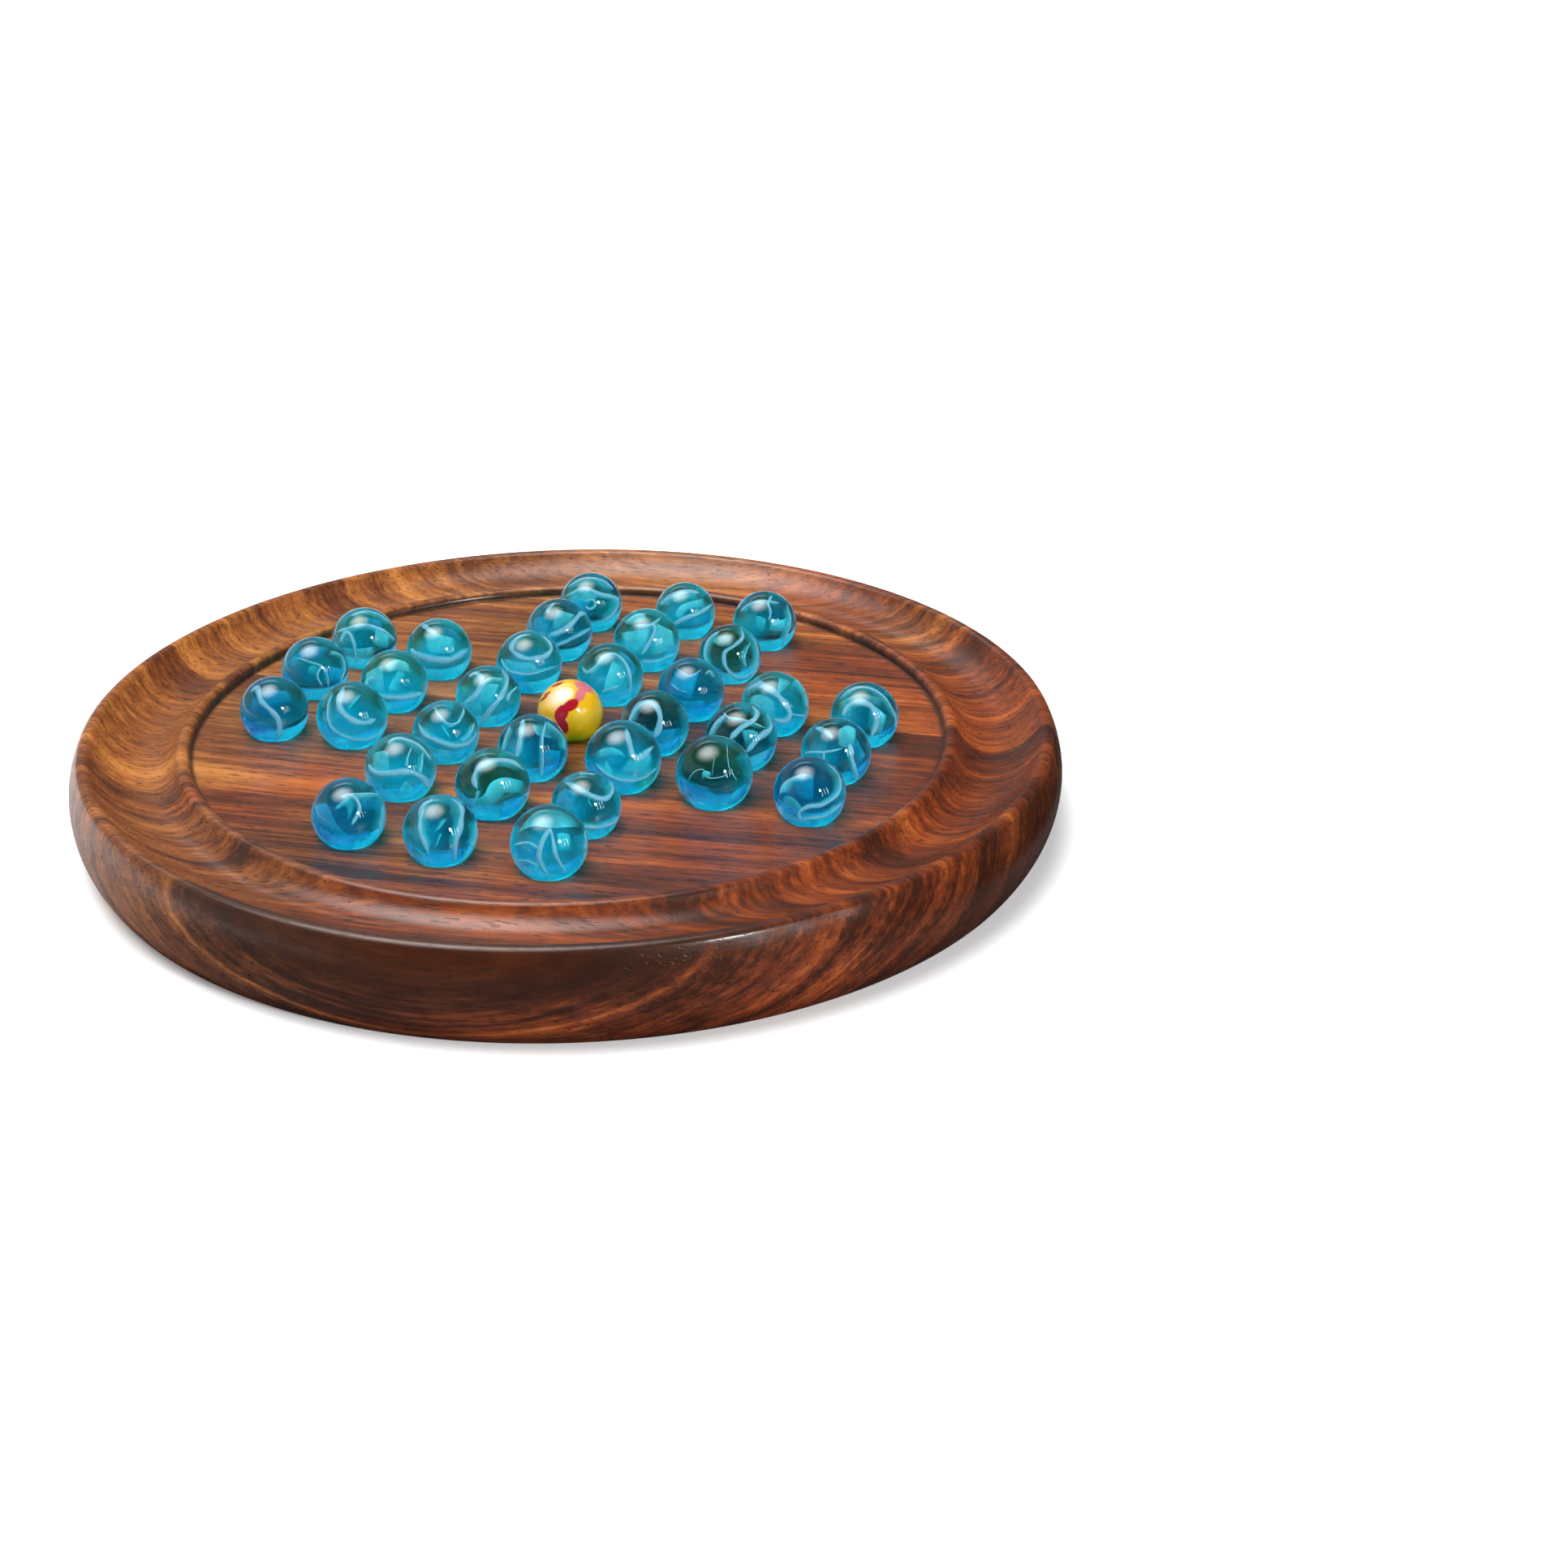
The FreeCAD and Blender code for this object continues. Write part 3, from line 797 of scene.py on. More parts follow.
        ("vein", 0.17, 0.5, ((-0.92, 0.0), (-0.65, -0.32), (-0.10, -0.46), (0.40, -0.48), (0.85, -0.35))),
        ("pale", 0.85, 1.2, ((-0.30, 0.55), (0.10, 0.75), (0.50, 0.60)), ((-0.20, 0.35), (0.15, 0.40),
          (0.60, 0.30))),
        ("pale", 0.60, 1.0, ((0.25, 0.55), (-0.05, 0.15), (-0.30, -0.35)), ((0.55, 0.40), (0.25, -0.05),
          (0.15, -0.45))),
        ("pale", 0.85, 0.7, ((-0.90, 0.30), (-0.60, 0.50), (-0.30, 0.60)), ((-0.90, -0.10), (-0.60, -0.20),
          (-0.30, -0.30))),
        ("vein", 0.06, 0.3, ((-0.60, 0.25), (-0.85, 0.10), (-0.80, -0.20), (-0.40, -0.55))),
    ),
    "c4": (
        ("vein", 0.16, 0.5, ((-0.60, 0.66), (-0.40, 0.78), (-0.20, 0.66), (-0.20, 0.42), (-0.42, 0.08),
          (-0.82, -0.18))),
        ("vein", 0.16, 0.5, ((0.46, 0.88), (0.62, 0.50), (0.40, 0.0), (0.0, -0.45), (-0.28, -0.85))),
        ("vein", 0.08, 0.3, ((-0.20, 0.44), (0.10, 0.60), (0.50, 0.55))),
        ("vein", 0.09, 0.3, ((0.92, 0.30), (0.70, 0.10), (0.60, -0.15))),
        ("pale", 0.75, 0.9, ((-0.20, 0.40), (0.10, 0.50), (0.45, 0.45)), ((-0.50, -0.10), (-0.15, -0.25),
          (0.20, -0.20))),
        ("pale", 0.85, 0.6, ((-0.90, -0.10), (-0.50, -0.10), (-0.20, -0.20)), ((-0.75, -0.60),
          (-0.45, -0.75), (-0.20, -0.85))),
    ),
    "e4": (
        ("vein", 0.17, 0.4, ((-0.78, 0.0), (-0.66, 0.35), (-0.40, 0.64), (-0.05, 0.66), (0.15, 0.35),
          (0.14, -0.05), (-0.05, -0.45))),
        ("deep", 0.88, 0.8, ((-0.70, -0.10), (-0.10, -0.20), (0.80, -0.10)), ((-0.50, -0.70), (0.0, -0.90),
          (0.60, -0.70))),
    ),
    "f4": (
        ("vein", 0.15, 0.3, ((-0.92, 0.02), (-0.74, 0.40), (-0.42, 0.66))),
        ("vein", 0.15, 0.4, ((-0.36, -0.05), (0.0, 0.30), (0.36, 0.52), (0.46, 0.74), (0.28, 0.92))),
        ("vein", 0.16, 0.4, ((0.12, -0.42), (0.50, 0.0), (0.82, 0.25), (0.84, 0.45), (0.70, 0.70))),
        ("vein", 0.05, 0.3, ((-0.50, 0.74), (-0.36, 0.60), (0.10, 0.52), (0.70, 0.28))),
        ("pale", 0.70, 0.8, ((0.0, 0.25), (0.30, 0.30), (0.60, 0.20)), ((0.10, -0.30), (0.40, -0.30),
          (0.60, -0.15))),
        ("pale", 0.85, 0.6, ((0.20, -0.60), (0.55, -0.45), (0.85, -0.30)), ((0.10, -0.92), (0.45, -0.85),
          (0.75, -0.60))),
    ),
    "g4": (
        ("pale", 0.80, 1.0, ((0.05, 0.72), (0.35, 0.85), (0.62, 0.72)), ((0.05, 0.25), (0.30, 0.15),
          (0.62, 0.10))),
        ("vein", 0.16, 0.5, ((0.40, 0.30), (0.46, -0.10), (0.55, -0.45), (0.60, -0.78))),
        ("vein", 0.06, 0.5, ((-0.92, -0.02), (-0.68, 0.02), (-0.30, 0.02), (0.22, 0.14))),
        ("vein", 0.05, 0.2, ((-0.34, 0.02), (-0.36, -0.10), (-0.34, -0.22))),
        ("vein", 0.12, 0.4, ((-0.60, 0.72), (-0.30, 0.62), (-0.10, 0.42))),
        ("deep", 0.85, 0.7, ((0.60, 0.50), (0.75, 0.20), (0.90, -0.10)), ((0.50, 0.20), (0.60, -0.10),
          (0.65, -0.50))),
    ),
    "a5": (
        ("vein", 0.11, 0.3, ((-0.78, -0.05), (-0.68, 0.20), (-0.50, 0.25), (-0.36, -0.12), (-0.30, -0.80))),
        ("vein", 0.11, 0.5, ((-0.88, 0.28), (-0.45, 0.42), (0.08, 0.46), (0.60, 0.26), (0.95, -0.12))),
        ("vein", 0.10, 0.3, ((-0.40, 0.75), (0.05, 0.90), (0.50, 0.78), (0.85, 0.42))),
        ("pale", 0.80, 0.9, ((0.35, 0.35), (0.60, 0.25), (0.85, 0.0)), ((0.30, -0.20), (0.55, -0.30),
          (0.80, -0.35))),
        ("pale", 0.85, 0.8, ((-0.80, -0.20), (-0.30, -0.30), (0.30, -0.25)), ((-0.60, -0.70),
          (-0.20, -0.88), (0.30, -0.85))),
        ("deep", 0.80, 0.6, ((0.0, 0.75), (0.30, 0.72), (0.70, 0.55)), ((0.0, 0.50), (0.30, 0.42),
          (0.65, 0.28))),
    ),
    "b5": (
        ("vein", 0.22, 0.5, ((-0.92, 0.08), (-0.68, -0.12), (-0.22, -0.28), (0.38, -0.30), (0.92, 0.02))),
        ("vein", 0.14, 0.4, ((-0.48, 0.84), (-0.30, 0.70), (-0.05, 0.52))),
        ("pale", 0.75, 1.0, ((-0.50, 0.60), (0.0, 0.60), (0.60, 0.40)), ((-0.50, 0.05), (0.0, -0.10),
          (0.60, -0.05))),
        ("deep", 0.85, 0.6, ((0.10, 0.80), (0.50, 0.65), (0.80, 0.35)), ((0.10, 0.60), (0.45, 0.45),
          (0.75, 0.15))),
    ),
    "c5": (
        ("vein", 0.16, 0.3, ((0.10, 0.92), (-0.35, 0.80), (-0.54, 0.48), (-0.20, 0.18), (0.38, 0.16),
          (0.70, 0.38), (0.62, 0.68), (0.35, 0.86))),
        ("vein", 0.09, 0.4, ((-0.88, 0.20), (-0.66, -0.20), (0.0, -0.34), (0.88, -0.10))),
        ("pale", 0.85, 0.7, ((-0.85, 0.20), (-0.30, 0.05), (0.20, 0.05)), ((-0.60, -0.20), (-0.10, -0.30),
          (0.40, -0.28))),
    ),
    "d5": (
        ("vein", 0.12, 0.4, ((-0.88, 0.34), (-0.72, 0.14), (-0.45, 0.32), (-0.18, 0.62), (0.18, 0.68),
          (0.50, 0.36), (0.63, -0.10), (0.54, -0.72))),
        ("pale", 0.75, 1.0, ((0.12, 0.60), (-0.10, 0.05), (-0.30, -0.60)), ((0.40, 0.50), (0.58, 0.0),
          (0.50, -0.75))),
        ("vein", 0.07, 0.3, ((-0.30, -0.50), (0.0, -0.40), (0.25, -0.32))),
        ("deep", 0.80, 0.8, ((0.25, 0.85), (0.60, 0.65), (0.90, 0.20)), ((0.45, 0.50), (0.65, 0.20),
          (0.75, -0.20))),
    ),
    "e5": (
        ("deep", 0.85, 1.2, ((-0.50, 0.70), (-0.10, 0.55), (0.30, 0.60)), ((-0.80, 0.10), (-0.30, -0.20),
          (0.05, -0.25))),
        ("vein", 0.030, 0.5, ((-0.45, 0.72), (-0.15, 0.50), (0.10, 0.52), (0.32, 0.66))),
        ("vein", 0.026, 0.4, ((-0.62, 0.25), (-0.40, 0.05), (-0.10, -0.05))),
        ("vein", 0.05, 0.3, ((0.45, 0.55), (0.60, 0.60), (0.74, 0.40))),
        ("deep", 0.88, 0.9, ((-0.90, 0.0), (-0.30, -0.30), (0.50, -0.30)), ((-0.70, -0.60), (-0.10, -0.85),
          (0.50, -0.75))),
    ),
    "f5": (
        ("vein", 0.20, 0.4, ((-0.90, 0.42), (-0.52, 0.62), (-0.15, 0.48), (0.22, 0.15), (0.46, -0.25),
          (0.28, -0.50), (-0.10, -0.40))),
        ("pale", 0.80, 1.1, ((0.12, 0.92), (0.10, 0.60), (0.02, 0.30)), ((0.55, 0.78), (0.30, 0.50),
          (0.04, 0.28))),
        ("vein", 0.12, 0.3, ((0.62, 0.78), (0.90, 0.35), (0.97, -0.10))),
        ("vein", 0.05, 0.3, ((0.40, -0.26), (0.70, -0.30), (0.95, -0.30))),
        ("pale", 0.85, 0.6, ((-0.80, 0.25), (-0.40, 0.35), (0.0, 0.10)), ((-0.85, -0.20), (-0.40, -0.35),
          (0.10, -0.45))),
    ),
    "g5": (
        ("vein", 0.12, 0.3, ((-0.74, 0.50), (-0.35, 0.82), (0.15, 0.84), (0.63, 0.52), (0.92, -0.05))),
        ("vein", 0.19, 0.5, ((-0.66, -0.05), (-0.52, 0.28), (-0.15, 0.42), (0.22, 0.28), (0.38, -0.15),
          (0.20, -0.65))),
        ("vein", 0.08, 0.2, ((0.80, 0.25), (0.95, -0.05), (0.92, -0.35))),
        ("pale", 0.70, 1.0, ((0.15, 0.35), (0.45, 0.30), (0.80, 0.0)), ((0.10, -0.30), (0.30, -0.60),
          (0.60, -0.70))),
        ("pale", 0.85, 0.5, ((-0.80, 0.40), (-0.10, 0.70), (0.60, 0.50)), ((-0.75, 0.10), (-0.20, 0.50),
          (0.45, 0.30))),
    ),
    "c6": (
        ("vein", 0.16, 0.5, ((0.88, 0.55), (0.68, 0.52), (0.45, 0.28), (0.20, 0.06), (-0.35, -0.14))),
        ("vein", 0.11, 0.4, ((0.97, 0.08), (0.60, -0.15), (0.0, -0.40), (-0.40, -0.50))),
        ("vein", 0.13, 0.2, ((-0.10, 0.90), (-0.30, 0.72), (-0.36, 0.58))),
        ("pale", 0.75, 0.8, ((-0.10, 0.80), (0.20, 0.70), (0.60, 0.55)), ((-0.30, 0.10), (0.10, 0.15),
          (0.40, 0.30))),
        ("deep", 0.85, 0.7, ((-0.80, 0.45), (-0.60, 0.50), (-0.35, 0.45)), ((-0.90, 0.0), (-0.60, 0.05),
          (-0.30, 0.0))),
    ),
    "d6": (
        ("pale", 0.88, 1.3, ((-0.70, 0.60), (-0.30, 0.88), (0.0, 0.85)), ((-0.55, 0.55), (-0.20, 0.65),
          (0.0, 0.68))),
        ("vein", 0.10, 0.5, ((0.18, 0.62), (0.26, 0.38), (0.10, 0.0), (-0.18, -0.42))),
        ("vein", 0.08, 0.4, ((-0.35, 0.50), (0.10, 0.52), (0.45, 0.72))),
        ("pale", 0.80, 1.0, ((-0.85, 0.30), (-0.30, 0.40), (0.20, 0.45)), ((-0.80, -0.30), (-0.30, -0.40),
          (0.0, -0.30))),
        ("pale", 0.85, 0.9, ((0.30, 0.60), (0.60, 0.45), (0.85, 0.30)), ((0.0, -0.40), (0.50, -0.40),
          (0.90, -0.30))),
        ("vein", 0.06, 0.3, ((-0.20, -0.60), (0.30, -0.62), (0.90, -0.35))),
    ),
    "e6": (
        ("vein", 0.14, 0.4, ((-0.35, 0.80), (-0.72, 0.50), (-0.84, 0.05), (-0.68, -0.45))),
        ("vein", 0.12, 0.4, ((0.34, 0.90), (0.42, 0.60), (0.12, 0.32), (-0.18, 0.10), (-0.16, -0.35),
          (0.20, -0.72), (0.68, -0.62),
                             (0.92, -0.15), (0.84, 0.40), (0.62, 0.70))),
        ("vein", 0.04, 0.5, ((0.66, 0.45), (0.50, 0.0), (0.52, -0.40))),
        ("pale", 0.80, 0.6, ((-0.70, 0.50), (-0.40, 0.70), (0.10, 0.75)), ((-0.30, 0.30), (-0.20, 0.35),
          (0.10, 0.35))),
    ),
    "c7": (
        ("vein", 0.12, 0.4, ((-0.75, 0.55), (-0.25, 0.82), (0.35, 0.78), (0.78, 0.42))),
        ("vein", 0.14, 0.5, ((-0.85, 0.25), (-0.20, 0.50), (0.35, 0.30), (0.90, 0.10), (0.70, -0.40),
          (0.20, -0.68))),
        ("pale", 0.80, 0.7, ((-0.80, 0.20), (-0.20, 0.45), (0.40, 0.25)), ((-0.85, -0.30), (-0.40, -0.10),
          (0.0, 0.05))),
        ("deep", 0.85, 0.6, ((-0.90, 0.10), (-0.60, 0.20), (-0.20, 0.10)), ((-0.80, -0.40), (-0.45, -0.50),
          (-0.10, -0.45))),
        ("vein", 0.06, 0.6, ((-0.20, 0.10), (0.05, 0.15), (0.15, -0.05), (-0.05, -0.18), (-0.22, -0.05))),
    ),
    "d7": (
        ("vein", 0.20, 0.5, ((-0.88, 0.25), (-0.45, 0.58), (0.10, 0.72), (0.50, 0.66))),
        ("vein", 0.13, 0.5, ((0.92, 0.28), (0.50, -0.02), (-0.05, -0.22), (-0.40, -0.40))),
        ("pale", 0.80, 0.9, ((-0.40, -0.10), (-0.10, 0.30), (0.70, 0.50)), ((-0.20, -0.30), (0.10, 0.10),
          (0.80, 0.20))),
        ("deep", 0.85, 0.7, ((0.0, -0.35), (0.45, -0.20), (0.90, 0.05)), ((0.10, -0.60), (0.50, -0.50),
          (0.85, -0.35))),
    ),
    "e7": (
        ("vein", 0.08, 0.5, ((0.24, 0.88), (0.12, 0.62), (0.20, 0.35), (0.14, 0.05))),
        ("vein", 0.09, 0.3, ((-0.80, 0.35), (-0.45, 0.62), (0.0, 0.70), (0.50, 0.62))),
        ("vein", 0.09, 0.4, ((0.70, 0.60), (0.85, 0.10), (0.70, -0.45), (0.55, -0.80))),
        ("pale", 0.70, 1.0, ((0.20, 0.15), (0.55, 0.10), (0.85, 0.15)), ((0.15, -0.30), (0.45, -0.35),
          (0.75, -0.30))),
        ("pale", 0.60, 0.8, ((-0.40, 0.30), (-0.15, 0.25), (0.10, 0.10)), ((-0.45, -0.10), (-0.15, -0.40),
          (0.0, -0.30))),
    ),
}

# Round veils in the far half, which the glass shows about three times as large: aqua ones (sea) and blue
# ones (ink), with their strength, middle and reach.
LOW_VEIL = ("sea", 0.80, (0.0, -0.40), (0.52, 0.19))
FAR_VEILS = {
    "sea": (("sea", 0.85, (0.02, -0.02), (0.48, 0.36)), LOW_VEIL),
    "ink": (("ink", 0.45, (-0.02, 0.05), (0.50, 0.40)), LOW_VEIL),
    "both": (("ink", 0.32, (0.15, 0.05), (0.30, 0.34)), ("sea", 0.50, (-0.18, 0.0), (0.28, 0.34)), LOW_VEIL),
    "clear": (LOW_VEIL,),
}
FAR_KIND = {
    "sea": ("e1", "c2", "b4", "c4", "c3", "c5", "b3", "e3", "b5", "d5", "d6", "f5", "d7"),
    "ink": ("c1", "a3", "a4", "e5", "g3"),
    "both": ("d1", "d3", "e2", "a5", "g4", "g5", "c6", "c7", "e7"),
}
# Where the strands of the far half start and end, out from the middle: outside what the front shows.
FAR_REACHES = ((0.56, 0.97), (0.97, 0.58), (0.72, 0.90))
FAR_STRANDS = 4


def far_veils(seat):
    kind = next((kind for kind, seats in FAR_KIND.items() if seat in seats), "clear")
    return FAR_VEILS[kind]


def strands_behind(rng):
    """Strands round the edge of the far half, where the front doesn't show them."""
    strands = []
    turn = rng.uniform(0, 2 * math.pi)
    for _ in range(FAR_STRANDS):
        turn += rng.uniform(1.2, 1.9)
        start, end = rng.choice(FAR_REACHES)
        span, wave = rng.uniform(0.5, 1.6), rng.uniform(0, 6)
        points = []
        for k in range(7):
            out = start + (end - start) * k / 6 + 0.04 * math.sin(0.9 * k + wave)
            angle = turn + span * k / 6
            points.append((out * math.cos(angle), out * math.sin(angle)))
        strands.append(("behind", rng.uniform(0.07, 0.17), rng.uniform(0.3, 0.5), points))
    return tuple(strands)


def make_ball(name, centre, radius, material, seed):
    """A marble's outside: a ball a little out of round."""
    bm = bmesh.new()
    bmesh.ops.create_icosphere(bm, subdivisions=5, radius=radius)
    for v in bm.verts:
        way = v.co.normalized()
        v.co = v.co * (1 - 0.0035 * (0.5 + noise.noise(way * 1.6 + seed)))
    return as_object(bm, name, material, at=centre)


def make_marbles():
    glass = blue_glass()
    materials = (vein_glass("milk_vein", (0.54, 0.74, 0.84), (0.40, 0.66, 0.79)),
                 veil_glass("pale_veil", (0.45, 0.98, 1.0), 0.95, (0.70, 0.98, 1.0)),
                 veil_glass("deep_veil", (0.04, 0.58, 0.88), 0.80, (0.32, 0.84, 1.0)))
    rng = random.Random(7)
    for node in marble_names():
        seat = node[-2:]
        low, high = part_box(node)
        centre, radius = (low + high) / 2, (high.z - low.z) / 2
        front = (VIEWPOINT - centre).normalized()
        right = Vector((0, 0, 1)).cross(front).normalized()
        axes = (right, front.cross(right), front)
        if seat == "d4":
            make_yellow(node, centre, radius, axes)
            continue
        seed = Vector((rng.uniform(-9, 9), rng.uniform(-9, 9), rng.uniform(-9, 9)))
        ball = make_ball("glass_" + seat, centre, radius, glass, seed)
        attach(ball, node)
        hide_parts(node)
        recipe = SWIRLS[seat] + far_veils(seat) + strands_behind(rng)
        swirl = build_swirl("swirl_" + seat, centre, radius, axes, recipe, materials)
        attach(swirl, node)


# The yellow marble's paints, from the lowest: colour, softness of the edge, and patches. A patch has its
# middle, its half length and width, and its turn, on the marble's disc.
CRIMSON = (0.36, 0.008, 0.020)
PAINTS = (
    # a cream cloud, partly a painted highlight where the key light falls on the marble
    ((0.88, 0.72, 0.46), 0.7, ((-0.30, 0.46, 0.36, 0.24, 35),)),
    ((0.56, 0.15, 0.17), 0.25, ((0.44, 0.74, 0.32, 0.13, -28), (0.32, 0.50, 0.26, 0.14, 58))),
    (CRIMSON, 0.12,
     ((0.03, 0.21, 0.27, 0.16, 30), (-0.27, -0.06, 0.30, 0.19, 64), (-0.24, -0.42, 0.26, 0.17, 106))),
    ((0.30, 0.010, 0.020), 0.3,
     ((-0.77, 0.44, 0.15, 0.035, 40), (-0.66, 0.58, 0.12, 0.03, 28), (-0.36, 0.84, 0.2, 0.04, 20))),
)
YELLOWS = ((0.3, (0.72, 0.37, 0.004)), (0.7, (0.88, 0.53, 0.010)))


def yellow_glass(radius, axes):
    """Opaque yellow glass with red and pink streaks, a cream cloud that is partly a painted highlight, and
    dark red flecks.
    """
    n = new_material("yellow_swirl_glass")
    place = n.vector("DIVIDE", n.place(), (radius, radius, radius))
    wave = n.times(n.minus(n.noise(place, 3.4, 3), 0.5), 0.42)
    x, y, z = (n.along(place, axis) for axis in axes)
    front = n.ramp(z, -0.05, 0.1)

    def patch(middle_x, middle_y, length, width, turn, edge):
        c, s = math.cos(math.radians(turn)), math.sin(math.radians(turn))
        u = n.plus(n.times(x, c / length), n.times(y, s / length))
        v = n.plus(n.times(x, -s / width), n.times(y, c / width))
        u = n.minus(u, (middle_x * c + middle_y * s) / length)
        v = n.minus(v, (middle_y * c - middle_x * s) / width)
        away = n.plus(n.math("SQRT", n.plus(n.times(u, u), n.times(v, v))), wave)
        return n.times(n.ramp(away, 1 + edge, 1 - edge), front)

    colour = n.colours(n.noise(place, 1.8, 3), *YELLOWS)
    for paint, edge, patches in PAINTS:
        for shape in patches:
            colour = n.mix(patch(*shape, edge), colour, paint)
    back = n.ramp(n.noise(n.vector("MULTIPLY", place, (1.0, 1.8, 1.8)), 1.7, 3), 0.58, 0.62)
    colour = n.mix(n.times(back, n.minus(1.0, front)), colour, CRIMSON)
    shell = n.add("ShaderNodeBsdfPrincipled", Base_Color=colour, Roughness=0.12)
    shell.inputs["IOR"].default_value = GLASS_IOR
    shell.inputs["Coat Weight"].default_value = 0.4
    shell.inputs["Coat Roughness"].default_value = 0.02
    return n.finish(shell.outputs[0])


def make_yellow(node, centre, radius, axes):
    ball = make_ball("glass_d4", centre, radius, yellow_glass(radius, axes), Vector((0, 0, 0)))
    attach(ball, node)
    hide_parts(node)


# ---------------------------------------------------------------- stage
KEY_LIGHT = 10.8        # glow of the umbrella's middle
UMBRELLA_RADIUS = 2.6
ROOM_GLOSS = 0.34       # how bright the white room is in polish, as light, and through the glass
CEILING_GLOSS = 0.42
WINDOW_GLOSS = 2.6
HIGH_WINDOW = from_front(-0.22, 0.60, 0.78).normalized()     # the room's brightest part, behind the board
ROOM_FILL = 0.22
ROOM_THROUGH = 1.65
BACKDROP = 1.25         # the room as the camera sees it
STRIP_TURNS = (36, 46, 56)      # degrees from the front to the right


def face_board(thing, direction, distance):
    """Puts a lamp or card that far from the board, turned to face it."""
    way = from_front(*direction).normalized()
    thing.location = AIM + way * distance
    thing.rotation_mode = "QUATERNION"
    thing.rotation_quaternion = way.to_track_quat("Z", "Y")


def lamp(name, direction, distance, size, power, size_y=None):
    data = bpy.data.lights.new(name, "AREA")
    data.shape = "RECTANGLE" if size_y else "DISK"
    data.size = size
    if size_y:
        data.size_y = size_y
    data.energy = power
    thing = bpy.data.objects.new(name, data)
    thing.visible_transmission = False
    face_board(thing, direction, distance)
    bpy.context.scene.collection.objects.link(thing)


def make_umbrella():
    """The soft key light: a round card that glows most in its middle."""
    bm = bmesh.new()
    bmesh.ops.create_circle(bm, cap_ends=True, segments=64, radius=UMBRELLA_RADIUS)
    n = new_material("umbrella")
    out = n.vector("LENGTH", n.place())
    power = n.plus(n.ramp(out, 1.95, 0.1), n.ramp(out, UMBRELLA_RADIUS, 0.7, 0.0, 0.06))
    glow = n.add("ShaderNodeEmission", Strength=n.times(power, KEY_LIGHT))
    umbrella = as_object(bm, "umbrella", n.finish(glow.outputs[0]))
    face_board(umbrella, (-0.245, 0.07, 0.968), 3.0)
    umbrella.visible_camera = False


def make_flag():
    """A black card lying right of the board keeps the white table out of its polish there."""
    bm = bmesh.new()
    bmesh.ops.create_grid(bm, x_segments=1, y_segments=1, size=0.5)
    n = new_material("black_card")
    flag = as_object(bm, "flag", n.finish(n.diffuse((0.01, 0.014, 0.008, 1))))
    flag.scale = (0.20, 0.30, 1)
    flag.rotation_euler = (0, 0, CAMERA_TURN - 0.25)
    flag.location = from_front(0.222, -0.03, 0.003)
    flag.visible_camera = flag.visible_shadow = flag.visible_diffuse = False


def white_table():
    """White to look at, greyer in the board's polish: a table under a room that is dark in front."""
    n = new_material("white_table")
    place = n.place()
    ray = n.add("ShaderNodeLightPath").outputs
    shade = n.colours(n.noise(place, 3, 2), (0.3, grey(0.86)), (0.7, grey(0.88)))
    lit_side = n.along(place, from_front(-0.8, 0.6, 0))
    polish = n.colours(n.ramp(lit_side, 0.02, 0.16), (0.0, grey(0.10)), (1.0, grey(1.0)))
    shade = n.mix(ray["Is Glossy Ray"], shade, polish)
    right_side = n.along(place, from_front(1, 0.2, 0))
    bounce = n.colours(n.ramp(right_side, 0.05, 0.13), (0.0, grey(0.92)), (1.0, grey(0.20)))
    shade = n.mix(ray["Is Diffuse Ray"], shade, bounce)
    # painted light: the table glows for the camera, less near the board so the shade round its foot shows
    painted_glow = n.times(ray["Is Camera Ray"], n.ramp(n.vector("LENGTH", place), 0.112, 0.18, 0.18, 0.55))
    both = n.add("ShaderNodeAddShader")
    n.put(both.inputs[0], n.diffuse(shade))
    n.put(both.inputs[1], n.add("ShaderNodeEmission", Strength=painted_glow).outputs[0])
    return n.finish(both.outputs[0])


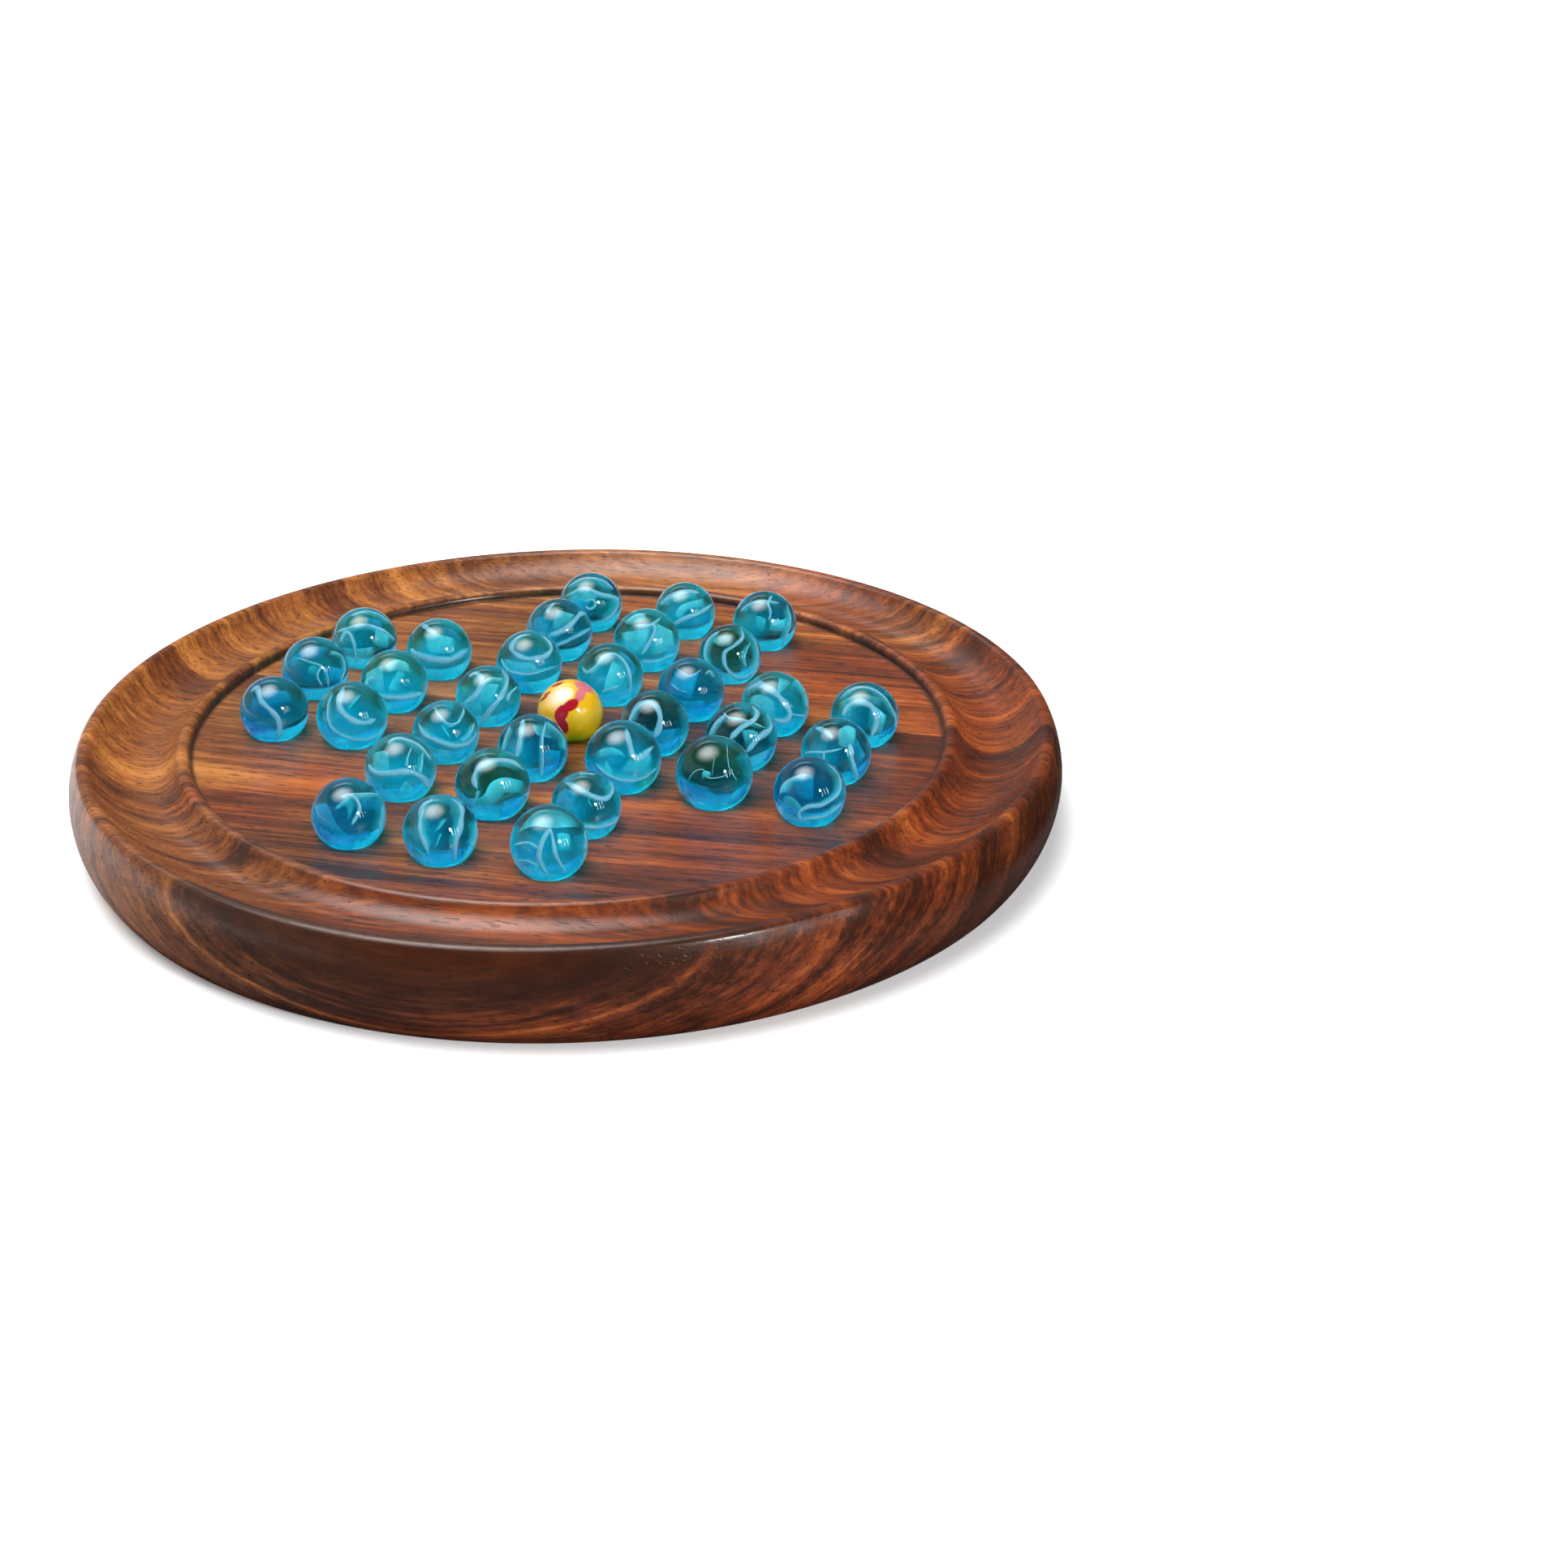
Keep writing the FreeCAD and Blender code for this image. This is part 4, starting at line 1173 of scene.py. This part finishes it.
def make_world():
    """A white room, dark on the camera's side, and dimmer as light and in polish than to look at."""
    world = bpy.data.worlds.new("studio")
    bpy.context.scene.world = world
    n = Nodes(world)
    way = n.add("ShaderNodeTexCoord").outputs["Generated"]
    ray = n.add("ShaderNodeLightPath").outputs
    height = n.add("ShaderNodeSeparateXYZ", Vector=way).outputs["Z"]
    to_right = n.along(way, from_front(1, 0.2, 0))
    near = n.along(way, from_front(0.25, -1, 0).normalized())
    dark = n.math("MULTIPLY", ray["Is Diffuse Ray"], 0.6, clamp=True)
    room = n.ramp(near, -0.1, 0.75, 1.0, n.plus(dark, 0.08))

    walls = n.ramp(to_right, -0.7, 0.6, ROOM_GLOSS * 1.8, ROOM_GLOSS * 0.35)
    window = n.times(n.ramp(n.along(way, HIGH_WINDOW), 0.92, 0.985), WINDOW_GLOSS)
    gloss = n.plus(n.ramp(height, 0.50, 0.85, walls, CEILING_GLOSS), window)
    share = n.minus(1.0, n.times(ray["Is Glossy Ray"], n.minus(1.0, gloss)))
    share = n.minus(share, n.times(ray["Is Diffuse Ray"], 1 - ROOM_FILL))
    share = n.plus(share, n.times(ray["Is Transmission Ray"], ROOM_THROUGH - 1))
    shade = n.times(ray["Is Diffuse Ray"], n.ramp(to_right, 0.0, 0.7, 0.0, 0.8))
    share = n.times(share, n.minus(1.0, shade))
    seen = n.add("ShaderNodeMix", {"data_type": "FLOAT"})
    n.put(seen.inputs[0], ray["Is Camera Ray"])
    n.put(seen.inputs[2], n.times(room, share))
    n.put(seen.inputs[3], BACKDROP)
    n.finish(n.add("ShaderNodeBackground", Strength=seen.outputs[0]).outputs[0])


def make_stage():
    bm = bmesh.new()
    bmesh.ops.create_grid(bm, x_segments=24, y_segments=24, size=4.0)
    as_object(bm, "floor", white_table())
    make_world()
    make_umbrella()
    make_flag()
    lamp("flash", (0.483, -0.756, 0.443), 0.9, 0.12, 3.6)
    for k, turn in enumerate(STRIP_TURNS):
        side = math.radians(turn)
        lamp("strip_%d" % k, (math.sin(side), -math.cos(side), 0.31), 0.9, 0.022, 0.40, size_y=0.30)
    bpy.context.scene.view_settings.view_transform = "Standard"


make_camera()
make_stage()
make_board(rosewood())
make_marbles()


def corners(box):
    return [list(box[0]), list(box[1])]
